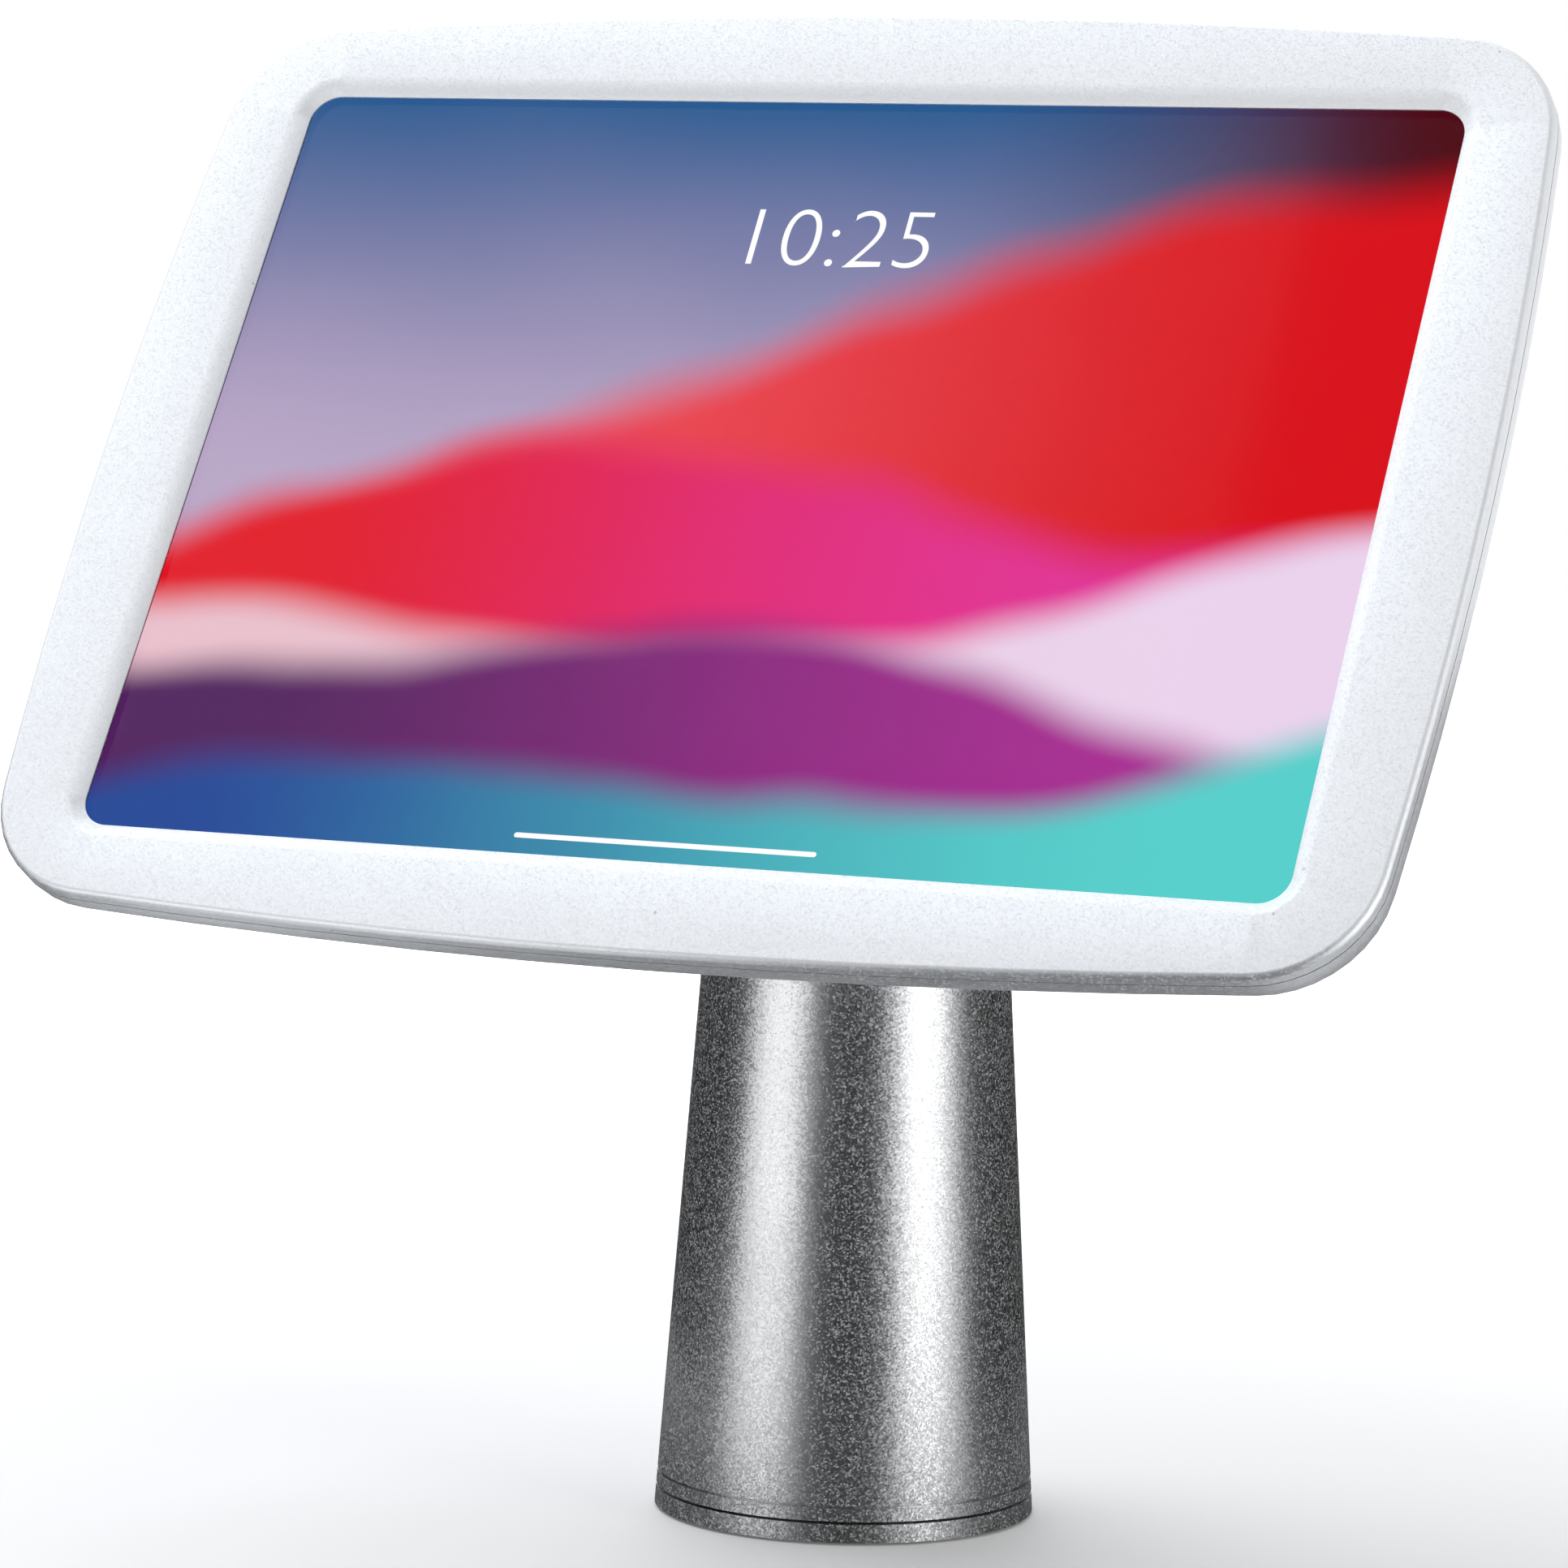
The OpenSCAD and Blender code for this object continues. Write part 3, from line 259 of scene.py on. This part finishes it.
def face_stand(thing, azimuth_deg, elevation_deg, distance, aim_height):
    """Stands a light or a card off the stand and turns it to face the axis at this height."""
    direction = toward(azimuth_deg, elevation_deg)
    turn = direction.to_track_quat("Z", "Y").to_matrix().to_4x4()
    aim = Vector((0, 0, aim_height))
    thing.matrix_world = Matrix.Translation(aim + direction * distance) @ turn


for name, (azimuth, elevation, distance, width, height, aim, tone) in STANDING_CARDS.items():
    face_stand(reflected_card(name, width, height, tone), azimuth, elevation, distance, aim)
print("Standing cards:", len(STANDING_CARDS))

# %% Floor cards
FLOOR_CARDS = {
    # azimuth, distance, width, length away from the stand, height above the floor in mm, paper
    "card_floor": (0, 0, 0.5, 0.5, 0.05, "grey"),
    "card_floor_left": (-85, 0.22, 0.30, 0.14, 0.08, "white"),
    "card_floor_left_strip": (-30, 0.27, 0.13, 0.32, 0.08, "white"),
    "card_floor_right_strip": (73, 0.26, 0.10, 0.32, 0.08, "white"),
}

for name, (azimuth, distance, width, length, height_mm, tone) in FLOOR_CARDS.items():
    card = reflected_card(name, width, length, tone)
    card.location = toward(azimuth) * distance + Vector((0, 0, height_mm * MM))
    card.rotation_euler.z = math.radians(azimuth)
print("Floor cards:", len(FLOOR_CARDS))

# %% [markdown]
# ## Lights
# One large soft light hangs above and to the left. The tilted face mirrors its near edge, so the
# face is brightest at its upper left and the window's bevels stand out. A narrow bright strip at
# the right and a wider, dimmer one at the left give the pedestal its two long highlights, and a
# strip behind lights the back. An area light is seen through from behind, so each one gets a black
# back. The brightness is given as seen by the eye, so that a strip can change size and keep it.

# %% Soft lights
BACK_GAP = 0.01
SOFT_LIGHTS = {
    # azimuth, elevation, distance, width, height, brightness, colour
    "top_light": (-109, 57, 1.52, 2.3, 1.4, 2.14, "#F6FAFF"),
    "right_strip": (73, 6, 1.1, 0.42, 0.5, 4.3, "#FFFFFF"),
    "left_strip": (-30, 0, 1.2, 0.62, 0.26, 2.6, "#FFFFFF"),
    "back_strip": (204, 12, 1.1, 0.40, 1.0, 1.8, "#FFFFFF"),
}

for name, (azimuth, elevation, distance, width, height, brightness, code) in SOFT_LIGHTS.items():
    lamp = bpy.data.lights.new(name, "AREA")
    lamp.shape = "RECTANGLE"
    lamp.size = width
    lamp.size_y = height
    lamp.energy = brightness * math.pi * width * height
    lamp.color = linear(code)[:3]
    light = new_object(name, lamp)
    light.visible_camera = False
    face_stand(light, azimuth, elevation, distance, HIGH_AIM)
    black_back = reflected_card(name + "_back", width, height, "dark")
    face_stand(black_back, azimuth, elevation, distance + BACK_GAP, HIGH_AIM)
print("Soft lights:", list(SOFT_LIGHTS))

# %% [markdown]
# ## The powder coats
# Frame and pedestal have a metallic powder coat: silver flakes in a slightly rough clear film. A
# flat grey would miss what the eye reads as metal here, which is the salt-and-pepper sparkle. Small
# random cells stand for the flakes. Each one leans its own way, so that it catches another light
# than its neighbour, and is a little brighter or darker, and here and there the matt binder shows
# between them. The film over them is slightly wavy. The frame's coat is paler and partly matt, and
# dust has left a few tiny pinholes in it. The bracket and the turning plate behind the frame have a
# plain black coat with the same grain.

# %% Powder coats
BINDER_RARITY = 4.0
PINHOLE_EVERY_MM = 11
PINHOLE_FROM, PINHOLE_TO = 0.02, 0.035
COAT_CLOUD_MM, COAT_DULL_SWING = 25, 0.04
FILM_WAVE_MM, FILM_HEIGHT_MM = 1.1, 0.004


def powder_coat(name, colour, roughness, flake_mm, lean, sparkle, metallic, binder=0, pinholes=0):
    """Flakes in a film. The binder is the matt share between the flakes, at its most."""
    material, tree, shader = new_finish(name, Metallic=metallic)
    place = add(tree, "TexCoord").outputs["Object"]
    flakes = add(tree, "TexVoronoi", {"Vector": place, "Scale": per_mm(flake_mm)}).outputs["Color"]
    tone = add(tree, "SeparateColor", {"Color": flakes}).outputs[0]
    shade = add(tree, "MapRange", {"Value": tone, "To Min": 1 - sparkle, "To Max": 1 + sparkle})
    base = add(tree, "VectorMath", {
        0: linear(colour)[:3], "Scale": shade.outputs[0],
    }, operation="SCALE")
    if binder:
        rare = add(tree, "Math", {0: tone, 1: BINDER_RARITY}, operation="POWER")
        share = add(tree, "MapRange", {
            "Value": rare.outputs[0], "To Min": metallic, "To Max": metallic - binder,
        })
        tree.links.new(share.outputs[0], shader.inputs["Metallic"])
    if pinholes:
        dust = add(tree, "TexVoronoi", {"Vector": place, "Scale": per_mm(PINHOLE_EVERY_MM)})
        clean = add(tree, "MapRange", {
            "Value": dust.outputs["Distance"], "From Min": PINHOLE_FROM, "From Max": PINHOLE_TO,
            "To Min": 1 - pinholes, "To Max": 1.0,
        })
        base = add(tree, "VectorMath", {
            0: base.outputs[0], "Scale": clean.outputs[0],
        }, operation="SCALE")
    tree.links.new(base.outputs[0], shader.inputs["Base Color"])
    cloud = add(tree, "TexNoise", {
        "Vector": place, "Scale": per_mm(COAT_CLOUD_MM), "Detail": 2.0,
    })
    dull = add(tree, "MapRange", {
        "Value": cloud.outputs["Fac"],
        "To Min": roughness - COAT_DULL_SWING, "To Max": roughness + COAT_DULL_SWING,
    })
    tree.links.new(dull.outputs[0], shader.inputs["Roughness"])
    offset = add(tree, "VectorMath", {0: flakes, 1: (0.5, 0.5, 0.5)}, operation="SUBTRACT")
    leaning = add(tree, "VectorMath", {0: offset.outputs[0], "Scale": lean}, operation="SCALE")
    surface = add(tree, "NewGeometry").outputs["Normal"]
    facing = add(tree, "VectorMath", {0: surface, 1: leaning.outputs[0]}, operation="ADD")
    facing = add(tree, "VectorMath", {0: facing.outputs[0]}, operation="NORMALIZE")
    film = add(tree, "TexNoise", {"Vector": place, "Scale": per_mm(FILM_WAVE_MM), "Detail": 1.0})
    wavy = add(tree, "Bump", {
        "Height": film.outputs["Fac"], "Strength": 1.0, "Distance": FILM_HEIGHT_MM * MM,
        "Normal": facing.outputs[0],
    })
    tree.links.new(wavy.outputs[0], shader.inputs["Normal"])
    return material


# Real flakes are too fine to show in the render, so these are drawn as coarse as they need to be.
finishes = {
    "white_coat": powder_coat(
        "pale_silver_powder_coat", "#DFE1E4", roughness=0.48, flake_mm=0.32, lean=0.06,
        sparkle=0.02, metallic=0.80, binder=0.45, pinholes=0.35,
    ),
    "silver_coat": powder_coat(
        "silver_powder_coat", "#C6C7C8", roughness=0.31, flake_mm=0.30, lean=0.11,
        sparkle=0.12, metallic=1.0, binder=0.75,
    ),
    "black_coat": powder_coat(
        "black_powder_coat", "#2A2A2C", roughness=0.50, flake_mm=0.35, lean=0.15,
        sparkle=0.12, metallic=0.0,
    ),
}
print("Powder coats:", [coat.name for coat in finishes.values()])

# %% [markdown]
# ## Plain metals
# Screws, bolts, nuts, pins and springs are zinc-plated steel, which is cloudy rather than bright.
# The weight inside the pedestal is cast iron with the pitted skin that a sand mould leaves. The
# tablet's case and buttons are bead-blasted aluminium, so they have an even, very fine grain. Each
# could have a shader of its own, but one function makes all three, because they differ only in
# colour, roughness and the size of their grain.

# %% Metals
METAL_DARKEST, METAL_LIGHTEST = 0.82, 1.12
METAL_DULL_SWING = 0.08


def metal(name, colour, roughness, cloud_mm, grain_mm, grain_height_mm):
    """A bare metal with cloudy tone and a fine grain. Its lighter clouds are smoother."""
    material, tree, shader = new_finish(name, Metallic=1.0)
    place = add(tree, "TexCoord").outputs["Object"]
    cloud = add(tree, "TexNoise", {"Vector": place, "Scale": per_mm(cloud_mm), "Detail": 4.0})
    shade = add(tree, "MapRange", {
        "Value": cloud.outputs["Fac"], "To Min": METAL_DARKEST, "To Max": METAL_LIGHTEST,
    })
    base = add(tree, "VectorMath", {
        0: linear(colour)[:3], "Scale": shade.outputs[0],
    }, operation="SCALE")
    tree.links.new(base.outputs[0], shader.inputs["Base Color"])
    dull = add(tree, "MapRange", {
        "Value": cloud.outputs["Fac"],
        "To Min": roughness + METAL_DULL_SWING, "To Max": roughness - METAL_DULL_SWING,
    })
    tree.links.new(dull.outputs[0], shader.inputs["Roughness"])
    grain = add(tree, "TexNoise", {"Vector": place, "Scale": per_mm(grain_mm), "Detail": 3.0})
    bump = add(tree, "Bump", {
        "Height": grain.outputs["Fac"], "Strength": 1.0, "Distance": grain_height_mm * MM,
    })
    tree.links.new(bump.outputs[0], shader.inputs["Normal"])
    return material


METALS = {
    # material, colour, roughness, then cloud size, grain size and grain height in mm
    "steel": ("zinc_plated_steel", "#BFC0C1", 0.32, 4.0, 0.4, 0.01),
    "ballast_iron": ("cast_iron", "#5A5856", 0.62, 9.0, 1.4, 0.25),
    "tablet_metal": ("bead_blasted_aluminium", "#C8CACD", 0.36, 30.0, 0.15, 0.01),
}
for slot, values in METALS.items():
    finishes[slot] = metal(*values)
print("Metals:", list(METALS))

# %% [markdown]
# ## Rubber and plastics
# The foot pad, the gasket, the grommets and the tablet's pads are black rubber, dull and faintly
# dusty. The bearing washers are a pale, waxy plastic. The battery has a smooth film wrap. One even
# colour would make all of them look painted, so each gets a slow change of tone and a fine skin.

# %% Rubber and plastics
MOULDED_CLOUD_MM, MOULDED_DULL_SWING = 12, 0.06


def moulded(name, colour, roughness, mottle, skin_mm, skin_height_mm):
    """A soft or moulded piece with slightly uneven tone and a fine skin."""
    material, tree, shader = new_finish(name)
    place = add(tree, "TexCoord").outputs["Object"]
    cloud = add(tree, "TexNoise", {
        "Vector": place, "Scale": per_mm(MOULDED_CLOUD_MM), "Detail": 4.0,
    })
    shade = add(tree, "MapRange", {
        "Value": cloud.outputs["Fac"], "To Min": 1 - mottle, "To Max": 1 + mottle,
    })
    base = add(tree, "VectorMath", {
        0: linear(colour)[:3], "Scale": shade.outputs[0],
    }, operation="SCALE")
    tree.links.new(base.outputs[0], shader.inputs["Base Color"])
    dull = add(tree, "MapRange", {
        "Value": cloud.outputs["Fac"],
        "To Min": roughness - MOULDED_DULL_SWING, "To Max": roughness + MOULDED_DULL_SWING,
    })
    tree.links.new(dull.outputs[0], shader.inputs["Roughness"])
    skin = add(tree, "TexNoise", {"Vector": place, "Scale": per_mm(skin_mm), "Detail": 2.0})
    bump = add(tree, "Bump", {
        "Height": skin.outputs["Fac"], "Strength": 1.0, "Distance": skin_height_mm * MM,
    })
    tree.links.new(bump.outputs[0], shader.inputs["Normal"])
    return material


MOULDED = {
    # material, colour, roughness, mottle, then skin size and skin height in mm
    "black_rubber": ("black_rubber", "#1D1D1E", 0.72, 0.25, 0.6, 0.04),
    "bearing_plastic": ("bearing_plastic", "#E4E0D5", 0.42, 0.04, 0.8, 0.01),
    "battery_wrap": ("battery_wrap", "#2C3036", 0.34, 0.10, 14.0, 0.20),
}
for slot, values in MOULDED.items():
    finishes[slot] = moulded(*values)
print("Moulded finishes:", list(MOULDED))

# %% [markdown]
# ## Circuit board
# The tablet's board is fibreglass under green lacquer, with copper tracks that show through as a
# slightly lighter green. They could be drawn one by one, but the board is hidden in the tablet, so
# rows of long bricks stand for them: the joints between the bricks are the tracks. A Mapping node
# turns the rows with the board, which leans back with the head.

# %% Board
HEAD_LEAN = math.radians(57)
TRACK_LENGTH_MM, TRACK_EVERY_MM, TRACK_WIDTH_MM = 7.0, 0.9, 0.16

board_green, tree, shader = new_finish("board_lacquer", Roughness=0.35)
place = add(tree, "TexCoord").outputs["Object"]
flat = add(tree, "Mapping", {
    "Vector": place, "Rotation": (HEAD_LEAN, 0, 0),
}, vector_type="TEXTURE")
tracks = add(tree, "TexBrick", {
    "Vector": flat.outputs[0], "Scale": per_mm(1),
    "Brick Width": TRACK_LENGTH_MM, "Row Height": TRACK_EVERY_MM, "Mortar Size": TRACK_WIDTH_MM,
    "Color1": linear("#17452C"), "Color2": linear("#1B4E33"), "Mortar": linear("#3C7A52"),
})
tree.links.new(tracks.outputs["Color"], shader.inputs["Base Color"])
finishes["board_green"] = board_green
print("Board tracks every", TRACK_EVERY_MM, "mm")

# %% [markdown]
# ## Cover glass
# The glass is a real slab with thickness. It is coated against glare and bonded to the display, so
# both together mirror as one faint surface. The slab could carry that mirror itself, but then each
# ray would have to choose between mirror and picture, and dark colours would turn grainy. So the
# slab gets the refraction of air and stays perfectly clear, and the picture gets the faint shine.

# %% Glass
INDEX_OF_AIR = 1.0

glass, tree, shader = new_finish(
    "anti_glare_glass", ior=INDEX_OF_AIR, Transmission_Weight=1.0, Roughness=0.0,
)
shader.inputs["Base Color"].default_value = linear("#FFFFFF")
finishes["cover_glass"] = glass
print("Clear glass:", glass.name)

# %% [markdown]
# ## Finishes on the pieces
# Every CAD piece comes with a slot that names what it is made of. Giving each slot its finish
# dresses all pieces at once, and a piece that is changed in the CAD model keeps its finish. Only
# the display is left out, because its picture is made below.

# %% Finishes on the CAD pieces
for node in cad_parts.values():
    for material_slot in node.material_slots:
        if material_slot.material.name in finishes:
            material_slot.material = finishes[material_slot.material.name]
print("CAD pieces:", len(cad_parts), "finishes:", len(finishes))

# %% [markdown]
# ## Smooth frame and tray
# The front frame and the tray behind it are bowed plates with rounded corners, and the CAD model
# gives them as flat facets. Finer facets would hide that and make the model heavy. Instead a copy
# is merged into one skin and shaded smooth, with creases kept where the metal really has an edge.
# Weighted normals keep the large faces flat.

# %% Smooth copies
CREASE = math.radians(32)
MERGE_DISTANCE = 0.002 * MM


def smooth_copy(node_name, piece_name, body, slot):
    """A merged, smooth-shaded copy of a CAD node that stands for it."""
    bm = bmesh.new()
    bm.from_mesh(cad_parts[node_name].data)
    bmesh.ops.remove_doubles(bm, verts=bm.verts, dist=MERGE_DISTANCE)
    for face in bm.faces:
        face.smooth = True
    for edge in bm.edges:
        edge.smooth = len(edge.link_faces) == 2 and edge.calc_face_angle() < CREASE
    piece = mesh_object(bm, piece_name, finishes[slot])
    attributes = piece.data.attributes
    if "custom_normal" in attributes:
        attributes.remove(attributes["custom_normal"])
    weighted = piece.modifiers.new("flat_faces_stay_flat", "WEIGHTED_NORMAL")
    weighted.keep_sharp = True
    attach(piece, body)
    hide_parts(node_name)
    return piece


for node_name, piece_name in (("front_bezel", "bezel_plate"), ("rear_shell", "rear_tray")):
    piece = smooth_copy(node_name, piece_name, "enclosure", "white_coat")
    print(piece.name, "faces:", len(piece.data.polygons))

# %% [markdown]
# ## The lit picture
# The display is a thin slab that glows behind the glass. Its picture is only soft colour: a blue
# sky that darkens to the right, and five layers of rolling waves in red, magenta, pink, purple and
# aqua, so it is drawn with sine waves instead of an image. A Mapping node turns the object's
# coordinates into millimetres on the screen, with the middle of the face as the centre. The slab
# also carries the faint shine of the glass that is bonded to it. Float glass isn't quite flat, so a
# very low, slow bump ripples it.

# %% Picture shine and place
FACE_CENTRE = Vector((0, -48.64, 197.59)) * MM
BONDED_INDEX = 1.12
RIPPLE_MM, RIPPLE_HEIGHT_MM = 60, 0.01
WOBBLE_MM, WOBBLE_REACH = 55, 8

picture, tree, shader = new_finish("lit_picture", Roughness=0.06, ior=BONDED_INDEX)
shader.inputs["Base Color"].default_value = linear("#000000")
shader.inputs["Emission Strength"].default_value = 1.0
place = add(tree, "TexCoord").outputs["Object"]
ripple = add(tree, "TexNoise", {"Vector": place, "Scale": per_mm(RIPPLE_MM), "Detail": 1.0})
wavy = add(tree, "Bump", {
    "Height": ripple.outputs["Fac"], "Strength": 1.0, "Distance": RIPPLE_HEIGHT_MM * MM,
})
tree.links.new(wavy.outputs[0], shader.inputs["Normal"])
in_mm = add(tree, "Mapping", {
    "Vector": place, "Location": FACE_CENTRE, "Rotation": (HEAD_LEAN, 0, 0), "Scale": (MM, MM, MM),
}, vector_type="TEXTURE")
wobble = add(tree, "TexNoise", {"Vector": in_mm.outputs[0], "Scale": 1 / WOBBLE_MM, "Detail": 1.0})
drift = add(tree, "VectorMath", {
    0: wobble.outputs["Color"],
    1: (2 * WOBBLE_REACH, 2 * WOBBLE_REACH, 0), 2: (-WOBBLE_REACH, -WOBBLE_REACH, 0),
}, operation="MULTIPLY_ADD")
spot = add(tree, "VectorMath", {0: in_mm.outputs[0], 1: drift.outputs[0]}, operation="ADD")
across, up = add(tree, "SeparateXYZ", {0: spot.outputs[0]}).outputs[:2]
print("Picture centre, mm:", [round(v / MM, 2) for v in FACE_CENTRE])

# %% [markdown]
# Each layer is laid over the ones before it: below its wave line its own colour covers them, with a
# soft edge. A Mix node has sockets of the same name for numbers, vectors and colours, so the ones
# for colours are picked by their place in the list.

# %% Picture colours
SHARE, FIRST, SECOND, MIXED = 0, 6, 7, 2
COLOUR_MIX = {"data_type": "RGBA"}
SKY_TOP, SKY_BOTTOM = 90, -10
DUSK_FROM, DUSK_TO = 15, 115
TINT_REACH = 100
WAVES = (
    # level, slope, height, length, phase, softness, colour at the left, colour at the right
    (24, 0.26, 15, 62, 0.4, 9, "#F0525E", "#D80C18"),
    (-6, 0.10, 17, 44, 2.6, 7, "#E01424", "#E0309A"),
    (-26, 0.14, 12, 52, 4.3, 6, "#E8C0CC", "#EAD2EC"),
    (-44, -0.08, 13, 47, 1.2, 6, "#52205F", "#A82A92"),
    (-62, 0.12, 10, 40, 3.4, 6, "#2A4C98", "#58CFCB"),
)

lower = add(tree, "MapRange", {
    "Value": up, "From Min": SKY_TOP, "From Max": SKY_BOTTOM,
}, **SOFT_STEP)
sky_colour = add(tree, "Mix", {
    SHARE: lower.outputs[0], FIRST: linear("#17578F"), SECOND: linear("#B9A6C6"),
}, **COLOUR_MIX)
dusk = add(tree, "MapRange", {
    "Value": across, "From Min": DUSK_FROM, "From Max": DUSK_TO,
}, **SOFT_STEP)
colour = add(tree, "Mix", {
    SHARE: dusk.outputs[0], FIRST: sky_colour.outputs[MIXED], SECOND: linear("#4E0A16"),
}, **COLOUR_MIX)
side = add(tree, "MapRange", {
    "Value": across, "From Min": -TINT_REACH, "From Max": TINT_REACH,
}, **SOFT_STEP)
for wave_level, slope, height, length, phase, softness, left, right in WAVES:
    angle = add(tree, "Math", {0: across, 1: 1 / length, 2: phase}, operation="MULTIPLY_ADD")
    swing = add(tree, "Math", {0: angle.outputs[0]}, operation="SINE")
    crest = add(tree, "Math", {
        0: swing.outputs[0], 1: height, 2: wave_level,
    }, operation="MULTIPLY_ADD")
    line = add(tree, "Math", {0: across, 1: slope, 2: crest.outputs[0]}, operation="MULTIPLY_ADD")
    below = add(tree, "Math", {0: line.outputs[0], 1: up}, operation="SUBTRACT")
    cover = add(tree, "MapRange", {
        "Value": below.outputs[0], "From Min": -softness, "From Max": softness,
    }, **SOFT_STEP)
    tint = add(tree, "Mix", {
        SHARE: side.outputs[0], FIRST: linear(left), SECOND: linear(right),
    }, **COLOUR_MIX)
    colour = add(tree, "Mix", {
        SHARE: cover.outputs[0], FIRST: colour.outputs[MIXED], SECOND: tint.outputs[MIXED],
    }, **COLOUR_MIX)
tree.links.new(colour.outputs[MIXED], shader.inputs["Emission Color"])
print("Picture layers:", 1 + len(WAVES))

# %% [markdown]
# ## The display slab
# The picture sits on a slab of the display's size, whose corners are rounded as a cut sheet's are.
# A flat sheet gets its corners by bevelling its four vertices and its thickness by extruding it
# backwards. It is made around the middle of the face and then turned and moved to its depth, with
# its place in the mesh, so that it leans with the head.

# %% Display slab
DISPLAY_W, DISPLAY_H, DISPLAY_CORNER = 232, 162, 3.0
DISPLAY_CORNER_STEPS = 8
PICTURE_FRONT, DISPLAY_BACK = 3.25, 4.5
on_face = Matrix.Translation(FACE_CENTRE) @ Matrix.Rotation(HEAD_LEAN, 4, "X")


def rounded_sheet(width_mm, height_mm, radius_mm, segments):
    """A flat sheet with rounded corners that faces +Z."""
    bm = flat_sheet(width_mm * MM, height_mm * MM)
    bmesh.ops.bevel(
        bm, geom=bm.verts[:], offset=radius_mm * MM, offset_type="OFFSET", segments=segments,
        profile=0.5, affect="VERTICES", material=-1, clamp_overlap=False,
    )
    return bm


def thicken(bm, depth_mm):
    """Extrudes the sheet backwards into a closed slab."""
    made = bmesh.ops.extrude_face_region(bm, geom=bm.faces[:], use_keep_orig=True)
    moved = [v for v in made["geom"] if isinstance(v, bmesh.types.BMVert)]
    bmesh.ops.translate(bm, vec=(0, 0, -depth_mm * MM), verts=moved)
    bmesh.ops.recalc_face_normals(bm, faces=bm.faces[:])


def head_piece(bm, name, depth_mm, material):
    """Puts a mesh made around the face's centre at its depth behind the face."""
    depth = Matrix.Translation((0, 0, -depth_mm * MM))
    bmesh.ops.transform(bm, matrix=on_face @ depth, verts=bm.verts)
    piece = mesh_object(bm, name, material)
    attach(piece, "enclosure")
    return piece


bm = rounded_sheet(DISPLAY_W, DISPLAY_H, DISPLAY_CORNER, DISPLAY_CORNER_STEPS)
thicken(bm, DISPLAY_BACK - PICTURE_FRONT)
panel = head_piece(bm, "picture_panel", PICTURE_FRONT, picture)
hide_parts("display_panel")
print("Display slab, mm:", DISPLAY_W, "x", DISPLAY_H)

# %% [markdown]
# ## Clock digits and swipe bar
# A lock screen shows the time, and a bar to swipe from. The digits are text turned into a flat
# mesh, and the bar is a rounded sheet. Both lie just above the picture and glow white. They could
# be drawn in the picture's nodes, but a mesh gives crisp edges. Thinning the letters makes them as
# light as digits on such screens.

# %% Digits
MARKS_DEPTH = 3.225
DIGIT_SIZE_MM = 18.5
DIGITS_UP_MM = 50
THINNING = 0.018

lit_white, tree, shader = new_finish("lit_white", Roughness=0.5, Specular_ior_Level=0.0)
shader.inputs["Base Color"].default_value = linear("#000000")
shader.inputs["Emission Color"].default_value = linear("#FFFFFF")
shader.inputs["Emission Strength"].default_value = 1.0

letters = bpy.data.curves.new("clock_digits", "FONT")
letters.body = "10:25"
letters.size = DIGIT_SIZE_MM * MM
letters.align_x = "CENTER"
letters.align_y = "CENTER"
letters.offset = -THINNING * DIGIT_SIZE_MM * MM
maker = new_object("clock_digits_maker", letters)
bpy.context.view_layer.update()
evaluated = maker.evaluated_get(bpy.context.evaluated_depsgraph_get())
drawn = bpy.data.meshes.new_from_object(evaluated)
bpy.data.objects.remove(maker)
bm = bmesh.new()
bm.from_mesh(drawn)
bmesh.ops.translate(bm, vec=(0, DIGITS_UP_MM * MM, 0), verts=bm.verts)
digits = head_piece(bm, "clock_digits", MARKS_DEPTH, lit_white)
print("Digits:", letters.body, "faces:", len(digits.data.polygons))

# %% Swipe bar
BAR_W, BAR_H, BAR_CORNER = 58, 1.0, 0.49
BAR_CORNER_STEPS = 6
BAR_UP_MM = -75.5

bm = rounded_sheet(BAR_W, BAR_H, BAR_CORNER, BAR_CORNER_STEPS)
bmesh.ops.translate(bm, vec=(0, BAR_UP_MM * MM, 0), verts=bm.verts)
bar = head_piece(bm, "swipe_bar", MARKS_DEPTH, lit_white)
print("Swipe bar, mm:", BAR_W, "x", BAR_H, "faces:", len(bar.data.polygons))
